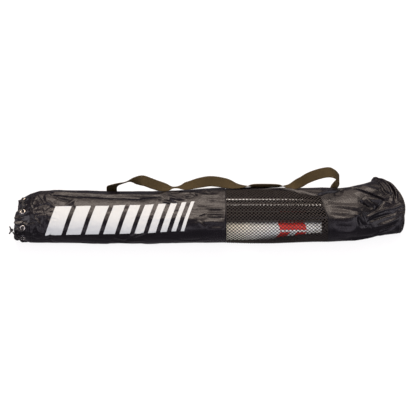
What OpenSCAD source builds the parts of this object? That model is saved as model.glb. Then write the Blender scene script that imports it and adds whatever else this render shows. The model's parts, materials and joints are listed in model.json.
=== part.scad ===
// Carry bag with a packed free-standing net set.
// A sewn nylon tube bag lies on its flattened underside, mouth towards -X.
// It has a mesh window, a laced mouth, a webbing strap and a round end panel.
// Inside are seven tubes, two tee connectors and the net, folded and rolled.

/* [Bag] */
// Room in the bag past the ends of the rails
end_room = 68; // [66:1:80]
// Room in the bag past the end of the right upright
upright_room = 133; // [130:1:140]
// Thickness of the nylon fabric
fabric = 1.2; // [0.8:0.1:1.6]
// Thickness of the folded hem round the mouth
hem_fabric = 2.4; // [2:0.1:3]
// Depth of the gathers in the mouth hem
gather_depth = 3; // [1:0.5:4]
// Width of the gathered hem
hem_width = 36; // [32:1:44]
// Start of the mesh window, from the middle of the bag
window_start = 42; // [20:1:80]
// Length of the mesh window
window_length = 246; // [200:1:260]
// Radius of the piping round the closed end
piping_radius = 2; // [1.5:0.1:2.5]

/* [Mesh] */
// Rows of holes along the window
mesh_rows = 18; // [12:1:19]
// Rows of holes round the window
mesh_columns = 13; // [9:1:14]
// Half of the cord between two holes, as a share of the pitch
mesh_cord = 0.13; // [0.08:0.01:0.2]

/* [Mouth] */
// Distance of the eyelets from the rim
eyelet_inset = 19; // [16:1:20]
// Radius of the hole through an eyelet
eyelet_bore = 3.9; // [3.7:0.1:4.2]
// Radius of an eyelet's flange
eyelet_radius = 6.6; // [6.2:0.1:7]
// Thickness of an eyelet's flange
eyelet_plate = 0.8; // [0.6:0.1:1]
// Radius of the drawstring
lace_radius = 1.7; // [1.4:0.1:1.9]
// Radius of the knot in the drawstring
knot_radius = 5.5; // [5:0.1:7]

/* [Strap] */
// Width of the webbing
webbing_width = 25; // [20:1:28]
// Thickness of the webbing
webbing_thickness = 1.8; // [1.2:0.1:2.2]

/* [Tubes] */
// Outer radius of every tube
tube_radius = 12.7; // [12:0.1:13]
// Wall of every tube
tube_wall = 1.2; // [1:0.1:1.5]
// Length of a base rail without its spigot
rail_length = 740; // [700:5:745]
// Length of an upright
upright_length = 730; // [690:5:732]
// Length of a foot bar
foot_length = 640; // [600:5:660]
// Length of a rail's spigot
spigot_length = 60; // [50:1:65]
// Radial clearance of a spigot in a tube
spigot_clearance = 0.2; // [0.1:0.05:0.3]
// Radius of a snap button
button_radius = 3; // [2.5:0.1:3.5]
// Height of a snap button above its spigot
button_height = 1.9; // [1.5:0.1:2.2]

/* [Connectors] */
// Wall of a tee's sockets
tee_wall = 2.6; // [2:0.1:3]
// Length of a tee's barrel with its clip
tee_length = 76; // [72:1:80]
// Height of a tee's branch above the barrel's axis
branch_height = 42; // [36:1:43]
// Lean of the tees in the bag
tee_lean = 8; // [4:1:9]

/* [Net] */
// Radius of the rolled net
roll_radius = 22; // [21:0.1:22.5]
// Length of the rolled net
roll_length = 392; // [370:1:400]
// Thickness of the white tape wound round the net
band_thickness = 1.3; // [1:0.1:1.6]
// Width of the tie round the net
tie_width = 22; // [16:1:26]

/* [Hidden] */

// Gap between pieces that lie on each other
gap = 0.3;
// Gap between a piece and the hole that it is pushed into
push_gap = 0.1;
fine = 48;

// ---------------------------------------------------------------- packing

// Centre [y, z] of a tube that rests in the groove between two others
function nested(first, first_radius, second, second_radius) =
    let (
        across = second - first,
        span = norm(across),
        to_first = first_radius + tube_radius + gap,
        to_second = second_radius + tube_radius + gap,
        along = (to_first * to_first - to_second * to_second + span * span) / (2 * span),
        rise = sqrt(to_first * to_first - along * along),
        direction = across / span
    )
    first + along * direction + rise * [-direction[1], direction[0]];

floor_gap = fabric + gap;
tube_pitch = 2 * tube_radius + gap;
roll_at = [-24, floor_gap + roll_radius];
foot_left_at = [
    roll_at[0] + sqrt(pow(roll_radius + tube_radius + gap, 2) - pow(roll_radius - tube_radius, 2)),
    floor_gap + tube_radius
];
foot_right_at = foot_left_at + [tube_pitch, 0];
rail_middle_at = nested(foot_left_at, tube_radius, foot_right_at, tube_radius);
rail_right_at = rail_middle_at + [tube_pitch, 0];
rail_left_at = nested(rail_middle_at, tube_radius, rail_right_at, tube_radius);
upright_left_at = nested(roll_at, roll_radius, rail_middle_at, tube_radius);
upright_right_at = nested(upright_left_at, tube_radius, rail_left_at, tube_radius);

// Space that the packed contents need across the bag
content_front = roll_at[0] - roll_radius - gap - fabric;
content_back = rail_right_at[0] + tube_radius + gap + fabric;
content_top = upright_right_at[1] + tube_radius + gap + fabric;

mouth_x = -461;
hem_x = mouth_x + hem_width;
window_end = window_start + window_length;

// Starts of the tubes along the bag
rail_left_x = -405;
rail_x = -400;
upright_left_x = -435;
upright_right_x = -395;
foot_left_x = -400;
foot_right_x = -380;
roll_end_x = 272;
roll_start_x = roll_end_x - roll_length;
tee_right_x = roll_end_x + 2 + tee_length / 2;
tee_left_x = roll_start_x - 42 - tee_length / 2;
tee_y = roll_at[0] - 0.5;

// The closed end clears the rails and the right upright
end_x = max(
    rail_x + rail_length + spigot_length + end_room,
    upright_right_x + upright_length + upright_room
);

// ---------------------------------------------------------------- bag shape

// Slack of the fabric round the contents: [distance, front, back, top].
// The first table counts from the mouth rim, the second from the closed end.
mouth_slack = [
    [0, 3, -21, -15], [19, 5, -9, -12], [36, 8, -1, -5], [58, 9, 5, 1], [106, 10, 8, 2],
    [202, 12, 5, 2], [317, 13, 4, 2], [394, 11, 8, 2], [461, 10, 12, 3]
];
end_slack = [
    [0, -20, 54, -27], [27, -15, 46, -21], [52, -10, 40, -15], [82, -4, 30, -7],
    [112, 3, 22, -1], [136, 6, 17, 1], [155, 6, 14, 2], [184, 7, 14, 3],
    [251, 9, 14, 3], [309, 12, 15, 3], [366, 12, 16, 3], [430, 10, 15, 3], [468, 10, 12, 3]
];
// Height of the underside above the ground near the mouth
mouth_lift = [[0, 9], [19, 8], [36, 0]];
squareness = 2.5;
// How far the flat underside cuts into the rounded section
flat_depth = 8;

function column(table, index) = [for (row = table) [row[0], row[index]]];
function slack(x, index) =
    x < 0 ? lookup(x - mouth_x, column(mouth_slack, index))
          : lookup(end_x - x, column(end_slack, index));
function bag_front(x) = content_front - slack(x, 1);
function bag_back(x) = content_back + slack(x, 2);
function bag_top(x) = content_top + slack(x, 3);
function bag_bottom(x) = lookup(x - mouth_x, mouth_lift);
function round_power(value) = sign(value) * pow(abs(value), 2 / squareness);

// The closed end is cut back more at the back than at the front
slant_start = end_x - 138;
slant_middle_y = 20;
back_cut = 62;
front_cut = 16;
back_reach = 97;
front_reach = 50;
function slant(x, y) =
    max(0, min(1, (x - slant_start) / (end_x - slant_start)))
    * (y > slant_middle_y
        ? back_cut * pow((y - slant_middle_y) / back_reach, 2)
        : front_cut * pow((slant_middle_y - y) / front_reach, 2));

// Point of the bag's wall at the section x, the angle and a depth below the outside.
// The angle runs from the back (0) over the top (90) to the front (180).
gathers = 8;
function wall_point(x, angle, depth, gathered = 0) =
    let (
        pleat = gathered * gather_depth * (1 - cos(gathers * angle)) / 2,
        inset = depth + pleat,
        half_width = (bag_back(x) - bag_front(x)) / 2 - inset,
        ground = bag_bottom(x),
        half_height = (bag_top(x) - ground + flat_depth) / 2 - inset,
        middle_z = (bag_top(x) + ground - flat_depth) / 2,
        y = (bag_back(x) + bag_front(x)) / 2 + half_width * round_power(cos(angle)),
        z = max(ground + depth, middle_z + half_height * round_power(sin(angle)))
    )
    [x - slant(x, y), y, z];

// The seam at the window's far end leans towards the mouth near the top
seam_lean = 24;
seam_lean_angle = 45;
seam_lean_reach = 85;
function window_seam(angle) =
    let (
        turn = angle > 180 ? angle - 360 : angle,
        share = (turn - seam_lean_angle) / seam_lean_reach
    )
    window_end - (abs(share) < 1 ? seam_lean * pow(1 - share * share, 2) : 0);

sleeve_sides = 48;
hem_sides = 64;
seam_gap = 0.25;
function around(sides) = [for (i = [0:sides - 1]) 360 * i / sides];
function blend(from, to, share) = from + (to - from) * share;

// ---------------------------------------------------------------- meshes

// Faces are listed counter-clockwise from outside and turned over here
module closed_mesh(points, faces) {
    polyhedron(points, [for (face = faces) [face[2], face[1], face[0]]]);
}

function flatten(lists) = [for (list = lists) each list];

// Triangles between rows of equal length; wrap joins each row's ends
function grid_faces(rows, columns, wrap, base, inward) = [
    for (i = [0:rows - 2])
        for (j = [0:columns - (wrap ? 1 : 2)])
            let (
                a = base + i * columns + j,
                b = base + i * columns + (j + 1) % columns,
                c = a + columns,
                d = b + columns
            )
            each inward ? [[a, d, b], [a, c, d]] : [[a, b, d], [a, d, c]]
];

// Triangles between two lists of point numbers
function strip_faces(upper, lower, wrap) = [
    for (k = [0:len(upper) - (wrap ? 1 : 2)])
        let (next = (k + 1) % len(upper))
        each [[upper[k], upper[next], lower[k]], [upper[next], lower[next], lower[k]]]
];

function row_numbers(row, columns, base) = [for (j = [0:columns - 1]) base + row * columns + j];
function column_numbers(rows, columns, index, base) =
    [for (i = [0:rows - 1]) base + i * columns + index];
function reversed(list) = [for (i = [len(list) - 1:-1:0]) list[i]];

// A closed tube of fabric between outer and inner rings
module tube_shell(outer, inner) {
    rows = len(outer);
    sides = len(outer[0]);
    base = rows * sides;
    closed_mesh(
        flatten([flatten(outer), flatten(inner)]),
        flatten([
            grid_faces(rows, sides, true, 0, false),
            grid_faces(rows, sides, true, base, true),
            strip_faces(reversed(row_numbers(0, sides, 0)),
                        reversed(row_numbers(0, sides, base)), true),
            strip_faces(row_numbers(rows - 1, sides, 0),
                        row_numbers(rows - 1, sides, base), true)
        ])
    );
}

// An open panel of fabric between outer and inner rows
module panel_shell(outer, inner) {
    rows = len(outer);
    sides = len(outer[0]);
    base = rows * sides;
    closed_mesh(
        flatten([flatten(outer), flatten(inner)]),
        flatten([
            grid_faces(rows, sides, false, 0, false),
            grid_faces(rows, sides, false, base, true),
            strip_faces(reversed(row_numbers(0, sides, 0)),
                        reversed(row_numbers(0, sides, base)), false),
            strip_faces(row_numbers(rows - 1, sides, 0),
                        row_numbers(rows - 1, sides, base), false),
            strip_faces(column_numbers(rows, sides, 0, 0),
                        column_numbers(rows, sides, 0, base), false),
            strip_faces(reversed(column_numbers(rows, sides, sides - 1, 0)),
                        reversed(column_numbers(rows, sides, sides - 1, base)), false)
        ])
    );
}

function unit(vector) = vector / norm(vector);

// Smooth curve through points of any dimension
function curve_point(before, from, to, after, s) =
    0.5 * (2 * from + (to - before) * s + (2 * before - 5 * from + 4 * to - after) * s * s
        + (3 * from - before - 3 * to + after) * s * s * s);
function curve(points, steps) = [
    for (i = [0:len(points) - 2])
        for (j = [0:steps - 1])
            curve_point(points[max(i - 1, 0)], points[i], points[i + 1],
                points[min(i + 2, len(points) - 1)], j / steps),
    points[len(points) - 1]
];
function direction_at(path, i) = unit(path[min(i + 1, len(path) - 1)] - path[max(i - 1, 0)]);
// Part of a vector that is square to a direction
function squared(vector, direction) = unit(vector - (vector * direction) * direction);

// A solid of rings with flat ends
module ring_solid(rings) {
    sides = len(rings[0]);
    last = (len(rings) - 1) * sides;
    closed_mesh(
        flatten(rings),
        flatten([
            grid_faces(len(rings), sides, true, 0, false),
            [for (i = [1:sides - 2]) [0, i + 1, i]],
            [for (i = [1:sides - 2]) [last, last + i, last + i + 1]]
        ])
    );
}

// A round cord along a path; its rings are turned from the X axis
module cord_along(path, radius, sides) {
    ring_solid([
        for (i = [0:len(path) - 1])
            let (
                along = direction_at(path, i),
                first = squared([1, 0, 0], along),
                second = cross(along, first)
            )
            [for (turn = around(sides))
                path[i] + radius * (cos(turn) * first + sin(turn) * second)]
    ]);
}

// Webbing along points [x, y, z, and the direction of its width]
module webbing_along(points, steps) {
    rows = curve(points, steps);
    path = [for (row = rows) [row[0], row[1], row[2]]];
    half_width = webbing_width / 2;
    half_thickness = webbing_thickness / 2;
    ring_solid([
        for (i = [0:len(path) - 1])
            let (
                along = direction_at(path, i),
                side = squared([rows[i][3], rows[i][4], rows[i][5]], along),
                face = cross(along, side)
            )
            [for (corner = [[1, 1], [-1, 1], [-1, -1], [1, -1]])
                path[i] + corner[0] * half_width * side + corner[1] * half_thickness * face]
    ]);
}

// The origin is on the ground under the middle of the whole part
knot_at = [-468, -46, 64];
knot_reach = 7;
disc_bulge = 3;
middle_x = (end_x + piping_radius + gap + disc_bulge + knot_at[0] - knot_reach) / 2;
widest_from_mouth = mouth_slack[6][0];
middle_y = (bag_back(end_x) + bag_front(mouth_x + widest_from_mouth)) / 2;
module placed() {
    translate([-middle_x, -middle_y, 0]) children();
}

// ---------------------------------------------------------------- bag

left_shares = [0, 0.05, 0.15, 0.35, 0.6, 0.77, 0.93, 1];
module left_sleeve() {
    start = hem_x + seam_gap;
    finish = window_start - seam_gap;
    color("#1d1c20")
        tube_shell(
            [for (share = left_shares) [for (angle = around(sleeve_sides))
                wall_point(blend(start, finish, share), angle, 0)]],
            [for (share = left_shares) [for (angle = around(sleeve_sides))
                wall_point(blend(start, finish, share), angle, fabric)]]
        );
}

right_shares = [0, 0.13, 0.25, 0.4, 0.56, 0.72, 0.86, 1];
function right_point(share, angle, depth) =
    wall_point(blend(window_seam(angle) + seam_gap, end_x, share), angle, depth);
module right_sleeve() {
    color("#1a191d")
        tube_shell(
            [for (share = right_shares) [for (angle = around(sleeve_sides))
                right_point(share, angle, 0)]],
            [for (share = right_shares) [for (angle = around(sleeve_sides))
                right_point(share, angle, fabric)]]
        );
}

// The window runs from the back of the top to the foot of the front
window_back_angle = 48;
window_front_angle = 228;
panel_gap_angle = 0.3;
function panel_point(along, angle, depth) =
    wall_point(blend(window_start + seam_gap, window_seam(angle) - seam_gap, along), angle, depth);

// Corners and hole points of the net, on the outside or the inside
function net_angle(j) =
    blend(window_back_angle + panel_gap_angle, window_front_angle - panel_gap_angle,
        j / mesh_columns);
function net_corners(depth) = [
    for (i = [0:mesh_rows]) for (j = [0:mesh_columns])
        panel_point(i / mesh_rows, net_angle(j), depth)
];
hole_corners = [[mesh_cord, 0.5], [0.5, 1 - mesh_cord], [1 - mesh_cord, 0.5], [0.5, mesh_cord]];
function net_holes(depth) = [
    for (i = [0:mesh_rows - 1]) for (j = [0:mesh_columns - 1]) for (corner = hole_corners)
        panel_point((i + corner[0]) / mesh_rows, net_angle(j + corner[1]), depth)
];

module mesh_window() {
    across = mesh_columns + 1;
    corner_count = (mesh_rows + 1) * across;
    hole_count = 4 * mesh_rows * mesh_columns;
    inner = corner_count + hole_count;
    faces = [
        for (i = [0:mesh_rows - 1]) for (j = [0:mesh_columns - 1])
            let (
                a = i * across + j,
                b = a + 1,
                c = a + across,
                d = c + 1,
                hole = corner_count + 4 * (i * mesh_columns + j),
                top = [
                    [a, b, hole], [b, d, hole + 1], [d, c, hole + 2], [c, a, hole + 3],
                    [a, hole, hole + 3], [b, hole + 1, hole], [d, hole + 2, hole + 1],
                    [c, hole + 3, hole + 2]
                ]
            )
            each [
                each top,
                for (face = top) [face[2] + inner, face[1] + inner, face[0] + inner],
                for (k = [0:3])
                    let (from = hole + k, to = hole + (k + 1) % 4)
                    each [[from, to, to + inner], [from, to + inner, from + inner]]
            ]
    ];
    rows = mesh_rows + 1;
    edges = [
        [reversed(row_numbers(0, across, 0)), reversed(row_numbers(0, across, inner))],
        [row_numbers(mesh_rows, across, 0), row_numbers(mesh_rows, across, inner)],
        [column_numbers(rows, across, 0, 0), column_numbers(rows, across, 0, inner)],
        [reversed(column_numbers(rows, across, mesh_columns, 0)),
         reversed(column_numbers(rows, across, mesh_columns, inner))]
    ];
    color("#2a292d")
        closed_mesh(
            flatten([net_corners(0), net_holes(0), net_corners(fabric), net_holes(fabric)]),
            flatten([faces, for (edge = edges) strip_faces(edge[0], edge[1], false)])
        );
}

panel_rows = 6;
panel_sides = 26;
module back_panel() {
    first = window_front_angle + panel_gap_angle;
    last = 360 + window_back_angle - panel_gap_angle;
    color("#1c1b1f")
        panel_shell(
            [for (i = [0:panel_rows]) [for (j = [0:panel_sides])
                panel_point(i / panel_rows, blend(first, last, j / panel_sides) % 360, 0)]],
            [for (i = [0:panel_rows]) [for (j = [0:panel_sides])
                panel_point(i / panel_rows, blend(first, last, j / panel_sides) % 360, fabric)]]
        );
}

piping_x = end_x + piping_radius + gap;
function end_ring(depth) = [
    for (angle = around(sleeve_sides))
        wall_point(end_x, angle, depth) + [piping_x - end_x, 0, 0]
];

module end_piping() {
    rings = [
        for (i = [0:sleeve_sides - 1])
            let (
                path = end_ring(piping_radius),
                along = unit(path[(i + 1) % sleeve_sides]
                    - path[(i + sleeve_sides - 1) % sleeve_sides]),
                first = squared([1, 0, 0], along),
                second = cross(along, first)
            )
            [for (turn = around(8))
                path[i] + piping_radius * (cos(turn) * first + sin(turn) * second)]
    ];
    closed = [for (i = [0:sleeve_sides]) rings[i % sleeve_sides]];
    sides = 8;
    color("#151417")
        closed_mesh(
            flatten(rings),
            [for (face = grid_faces(sleeve_sides + 1, sides, true, 0, false))
                [for (number = face) number % (sleeve_sides * sides)]]
        );
}

// The round end panel bulges a little between its rim and its middle
disc_shares = [1, 0.72, 0.4];
module end_disc() {
    rim = end_ring(2 * piping_radius + gap);
    middle = [piping_x, (bag_back(end_x) + bag_front(end_x)) / 2 - 12, bag_top(end_x) / 2];
    points = flatten([
        for (depth = [0, -fabric]) flatten([
            for (share = disc_shares) [
                for (point = rim)
                    blend(middle, point, share) + [disc_bulge * (1 - share * share) + depth, 0, 0]
            ],
            [middle + [disc_bulge + depth, 0, 0]]
        ])
    ]);
    rows = len(disc_shares);
    apex = rows * sleeve_sides;
    base = apex + 1;
    inner_row = (rows - 1) * sleeve_sides;
    color("#19181c")
        closed_mesh(
            points,
            flatten([
                grid_faces(rows, sleeve_sides, true, 0, false),
                grid_faces(rows, sleeve_sides, true, base, true),
                [for (j = [0:sleeve_sides - 1])
                    [inner_row + j, inner_row + (j + 1) % sleeve_sides, apex]],
                [for (j = [0:sleeve_sides - 1])
                    [base + inner_row + (j + 1) % sleeve_sides, base + inner_row + j, base + apex]],
                strip_faces(reversed(row_numbers(0, sleeve_sides, 0)),
                            reversed(row_numbers(0, sleeve_sides, base)), true)
            ])
        );
}

// ---------------------------------------------------------------- mouth

eyelet_x = mouth_x + eyelet_inset;
hem_shares = [0, 0.2, 0.47, 0.75, 1];
function hem_gather(x) = (hem_x - x) / hem_width;
function hem_point(x, angle, depth) = wall_point(x, angle, depth, hem_gather(x));

// Directions at an eyelet: out of the fabric and round the mouth
function eyelet_round(angle) =
    unit(hem_point(eyelet_x, angle + 1, 0) - hem_point(eyelet_x, angle - 1, 0));
function eyelet_out(angle) =
    unit(cross(eyelet_round(angle),
        hem_point(eyelet_x + 1, angle, 0) - hem_point(eyelet_x - 1, angle, 0)));
eyelet_angles = [for (i = [0:gathers - 1]) 360 * i / gathers];

// Places its children on each eyelet, +Z out of the fabric
module at_eyelets() {
    for (angle = eyelet_angles) {
        out = eyelet_out(angle);
        sideways = eyelet_round(angle);
        along = cross(sideways, out);
        at = hem_point(eyelet_x, angle, 0);
        multmatrix([
            [along[0], sideways[0], out[0], at[0]],
            [along[1], sideways[1], out[1], at[1]],
            [along[2], sideways[2], out[2], at[2]]
        ])
            children();
    }
}

barrel_radius = eyelet_bore + 0.8;
seat_depth = 0.4;
module mouth_hem() {
    color("#1b1a1e")
        difference() {
            tube_shell(
                [for (share = reversed(hem_shares)) [for (angle = around(hem_sides))
                    hem_point(blend(hem_x, mouth_x, share), angle, 0)]],
                [for (share = reversed(hem_shares)) [for (angle = around(hem_sides))
                    hem_point(blend(hem_x, mouth_x, share), angle, hem_fabric)]]
            );
            at_eyelets() {
                translate([0, 0, -2 * hem_fabric])
                    cylinder(r = barrel_radius + gap, h = 3 * hem_fabric, $fn = 24);
                translate([0, 0, -seat_depth])
                    cylinder(r = eyelet_radius + gap, h = hem_fabric, $fn = 24);
                translate([0, 0, -3 * hem_fabric])
                    cylinder(r = eyelet_radius + gap, h = 2 * hem_fabric, $fn = 24);
            }
        }
}

eyelet_outer = gap - seat_depth;
eyelet_inner = -hem_fabric - gap;
module eyelets() {
    color("silver")
        at_eyelets()
            difference() {
                union() {
                    translate([0, 0, eyelet_outer])
                        cylinder(r = eyelet_radius, h = eyelet_plate, $fn = 24);
                    translate([0, 0, eyelet_inner - eyelet_plate])
                        cylinder(r = barrel_radius, h = eyelet_outer - eyelet_inner + eyelet_plate,
                            $fn = 24);
                }
                translate([0, 0, -3 * hem_fabric])
                    cylinder(r = eyelet_bore, h = 6 * hem_fabric, $fn = 24);
            }
}

module eyelet_washers() {
    color("gainsboro")
        at_eyelets()
            translate([0, 0, eyelet_inner - eyelet_plate])
                difference() {
                    cylinder(r = eyelet_radius, h = eyelet_plate, $fn = 24);
                    translate([0, 0, -1])
                        cylinder(r = barrel_radius + push_gap, h = eyelet_plate + 2, $fn = 24);
                }
}

// The drawstring goes in and out through the eyelets, from the knot at the front
lace_out = eyelet_outer + eyelet_plate + gap + lace_radius;
lace_in = eyelet_inner - eyelet_plate - gap - lace_radius;
lace_middle = (lace_out + lace_in) / 2;
lace_step = 2.2;
lace_clear = eyelet_radius + 1;
lace_order = [135, 90, 45, 0, 315, 270, 225, 180];
function lace_at(k) =
    let (
        angle = lace_order[k],
        at = hem_point(eyelet_x, angle, 0),
        out = eyelet_out(angle),
        onward = -eyelet_round(angle),
        inwards = k % 2 == 0,
        before = inwards ? lace_out : lace_in,
        after = inwards ? lace_in : lace_out
    )
    [
        if (inwards) at + out * before - onward * lace_clear,
        at + out * before - onward * lace_step,
        at + out * lace_middle,
        at + out * after + onward * lace_step,
        if (!inwards) at + out * after + onward * lace_clear
    ];
lace_lead = [-455, -45, 67];
lace_tail = [-453, -58, 44];
// Points that lead straight away from the knot towards another point
function off_knot(target) =
    [for (reach = [0, 3]) knot_at + (knot_radius + gap + reach) * unit(target - knot_at)];
lace_points = flatten([
    off_knot(lace_lead),
    [lace_lead],
    for (k = [0:gathers - 1]) lace_at(k),
    [lace_tail],
    reversed(off_knot(lace_tail))
]);

module drawstring() {
    color("#232226") cord_along(curve(lace_points, 2), lace_radius, 8);
}

knot_tails = [[-4, -3, -7], [-3, 3, 8]];
module drawstring_knot() {
    color("#232226") {
        translate(knot_at) sphere(r = knot_radius, $fn = 24);
        for (tail = knot_tails)
            translate(knot_at)
                cord_along([0.5 * tail, tail, 1.35 * tail], lace_radius, 8);
    }
}

// ---------------------------------------------------------------- strap

strap_axis = [80, 36];
knuckle_radius = webbing_thickness / 2 + 0.4;
strap_left_x = -231;
strap_right_x = 305;
// Points of the strap: [x, y, z, and the direction of its width]
strap_points = [
    [-231, 80, 36, 1, 0, 0], [-231, 80, 45, 1, 0, 0], [-230, 78, 57, 1, 0, 0],
    [-224, 76, 68, 0.9, 0.25, -0.35], [-210, 74, 80, 0.6, 0.4, -0.65],
    [-190, 72, 92, 0, 0.45, -0.87], [-172, 71, 98, 0, -0.26, -0.97],
    [-154, 70, 100, 0, -0.86, -0.5], [-136, 68.5, 89, 0, -0.86, -0.3],
    [-116, 68, 71, 0, -0.7, 0.5], [-92, 69, 66.5, 0, -0.6, 0.75],
    [-68, 70, 70, 0, -0.7, 0.5], [-43, 70, 78, 0, -0.9, 0.1],
    [-18, 71, 89, 0, -0.88, -0.35], [8, 72, 94, 0, -0.86, -0.5],
    [42, 72, 85, 0, -0.9, -0.2], [72, 71, 77, 0, -0.8, 0.5],
    [112, 70, 74.5, 0, -0.72, 0.66], [163, 69, 73.5, 0, -0.72, 0.66],
    [194, 69, 76, 0, -0.8, 0.4], [219, 69, 92, 0, -0.86, -0.4],
    [238, 70, 112, 0, -0.86, -0.5], [262, 71, 128.5, 0, -0.86, -0.5],
    [286, 72, 136, 0, -0.9, -0.4], [301, 73, 127, 0, -1, 0],
    [309, 75, 110, 0, -1, 0], [312, 77, 92, 0.15, -1, 0],
    [309, 79, 76, 0.8, -0.6, 0], [306, 80, 60, 1, -0.1, 0], [305, 80, 46, 1, 0, 0],
    [305, 80, 36, 1, 0, 0]
];

module knuckle(x) {
    translate([x - webbing_width / 2, strap_axis[0], strap_axis[1]])
        rotate([0, 90, 0])
            cylinder(r = knuckle_radius, h = webbing_width, $fn = 32);
}

module carry_strap() {
    color("#2b2420") {
        webbing_along(strap_points, 2);
        knuckle(strap_left_x);
        knuckle(strap_right_x);
    }
}

// A tab lies low on the back of the bag and reaches up to the strap's end
tab_angles = [316, 326, 336];
tab_rise = [12, 6];
module strap_tab(x) {
    lift = 3 * gap + webbing_thickness / 2;
    wall_y = wall_point(x, 0, -lift)[1];
    axis_y = strap_axis[0];
    axis_z = strap_axis[1];
    points = [
        for (angle = tab_angles)
            let (point = wall_point(x, angle, -lift))
            [x, point[1], point[2], 1, 0, 0],
        [x, blend(wall_y, axis_y, 0.5), axis_z - tab_rise[0], 1, 0, 0],
        [x, axis_y, axis_z - tab_rise[1], 1, 0, 0],
        [x, axis_y, axis_z - knuckle_radius - gap, 1, 0, 0]
    ];
    color("#2b2420") webbing_along(points, 3);
}
module strap_tab_left() { strap_tab(strap_left_x); }
module strap_tab_right() { strap_tab(strap_right_x); }

// ---------------------------------------------------------------- tubes

bore_radius = tube_radius - tube_wall;
spigot_radius = bore_radius - spigot_clearance;
spigot_bore = spigot_radius - tube_wall;
neck_length = 3;

// Places its children at a tube's start; their +Z runs along the bag
module along_bag(x, at) {
    translate([x, at[0], at[1]]) rotate([0, 90, 0]) children();
}

module straight_tube(length) {
    difference() {
        cylinder(r = tube_radius, h = length, $fn = fine);
        translate([0, 0, -1]) cylinder(r = bore_radius, h = length + 2, $fn = fine);
    }
}

// A rail ends in a swaged spigot that carries a snap button, up (1) or down (-1)
button_at = spigot_length / 2;
module base_rail(x, at, side) {
    difference() {
        along_bag(x, at)
            rotate_extrude($fn = fine)
                polygon([
                    [bore_radius, 0], [tube_radius, 0], [tube_radius, rail_length],
                    [spigot_radius, rail_length + neck_length],
                    [spigot_radius, rail_length + spigot_length],
                    [spigot_bore, rail_length + spigot_length],
                    [spigot_bore, rail_length + neck_length], [bore_radius, rail_length]
                ]);
        translate([x + rail_length + button_at, at[0], at[1]])
            rotate([side > 0 ? 0 : 180, 0, 0])
                cylinder(r = button_radius + push_gap, h = tube_radius, $fn = 24);
    }
}
module rail_finish() { color("#222226") children(); }
module base_rail_left() { rail_finish() base_rail(rail_left_x, rail_left_at, 1); }
module base_rail_middle() { rail_finish() base_rail(rail_x, rail_middle_at, -1); }
module base_rail_right() { rail_finish() base_rail(rail_x, rail_right_at, -1); }

flange_radius = button_radius + 1.2;
flange_plate = 1;
flange_top = sqrt(pow(spigot_bore - push_gap, 2) - pow(flange_radius, 2));
button_top = spigot_radius + button_height;
button_edge = 0.8;
module snap_button(x, at, side) {
    color("silver")
        translate([x + rail_length + button_at, at[0], at[1]])
            rotate([side > 0 ? 0 : 180, 0, 0])
                rotate_extrude($fn = 32)
                    polygon([
                        [0, flange_top - flange_plate], [flange_radius, flange_top - flange_plate],
                        [flange_radius, flange_top], [button_radius, flange_top],
                        [button_radius, button_top - button_edge],
                        [button_radius - button_edge, button_top], [0, button_top]
                    ]);
}
module snap_button_left() { snap_button(rail_left_x, rail_left_at, 1); }
module snap_button_middle() { snap_button(rail_x, rail_middle_at, -1); }
module snap_button_right() { snap_button(rail_x, rail_right_at, -1); }

// A bent strip of spring steel between the button and the far side of the spigot
spring_width = 5;
spring_plate = 0.6;
spring_reach = 26;
module button_spring(x, at, side) {
    upper = flange_top - flange_plate - push_gap;
    lower = -sqrt(pow(spigot_bore, 2) - pow(spring_width / 2, 2)) + gap;
    color("#8c8f94")
        translate([x + rail_length + button_at, at[0], at[1]])
            rotate([side > 0 ? 90 : -90, 0, 0])
                translate([0, 0, -spring_width / 2])
                    linear_extrude(spring_width)
                        polygon([
                            [2.5, upper], [-2.5, upper], [-2.5, upper - spring_plate],
                            [0, upper - spring_plate], [-spring_reach + spring_plate, 0],
                            [0, lower + spring_plate], [-2.5, lower + spring_plate],
                            [-2.5, lower], [2.5, lower], [2.5, lower + spring_plate],
                            [0.6, lower + spring_plate], [-spring_reach + 2 * spring_plate, 0],
                            [0.6, upper - spring_plate], [2.5, upper - spring_plate]
                        ]);
}
module button_spring_left() { button_spring(rail_left_x, rail_left_at, 1); }
module button_spring_middle() { button_spring(rail_x, rail_middle_at, -1); }
module button_spring_right() { button_spring(rail_x, rail_right_at, -1); }

// Moulded plugs close a tube's two ends; a plug has a flange as wide as the tube
plug_flange = 3;
plug_depth = 16;
module end_plugs(x, at, length) {
    color("#101012")
        for (far = [0, 1])
            translate([far * (2 * x + length), 0, 0]) mirror([far, 0, 0]) along_bag(x, at) {
                cylinder(r = bore_radius - push_gap, h = plug_depth, $fn = fine);
                translate([0, 0, -plug_flange])
                    cylinder(r = tube_radius, h = plug_flange, $fn = fine);
            }
}
module closed_tube(x, at, length) {
    along_bag(x + plug_flange, at) straight_tube(length - 2 * plug_flange);
}
module closed_tube_plugs(x, at, length) {
    end_plugs(x + plug_flange, at, length - 2 * plug_flange);
}

module upright_left() {
    color("#232327") closed_tube(upright_left_x, upright_left_at, upright_length);
}
module upright_left_caps() {
    closed_tube_plugs(upright_left_x, upright_left_at, upright_length);
}
module upright_right() {
    color("#232327") closed_tube(upright_right_x, upright_right_at, upright_length);
}
module upright_right_caps() {
    closed_tube_plugs(upright_right_x, upright_right_at, upright_length);
}
module foot_bar_left() {
    color("#26262a") closed_tube(foot_left_x, foot_left_at, foot_length);
}
module foot_bar_left_plugs() {
    closed_tube_plugs(foot_left_x, foot_left_at, foot_length);
}
module foot_bar_right() {
    color("#26262a") closed_tube(foot_right_x, foot_right_at, foot_length);
}
module foot_bar_right_plugs() {
    closed_tube_plugs(foot_right_x, foot_right_at, foot_length);
}

// ---------------------------------------------------------------- tees

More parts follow.
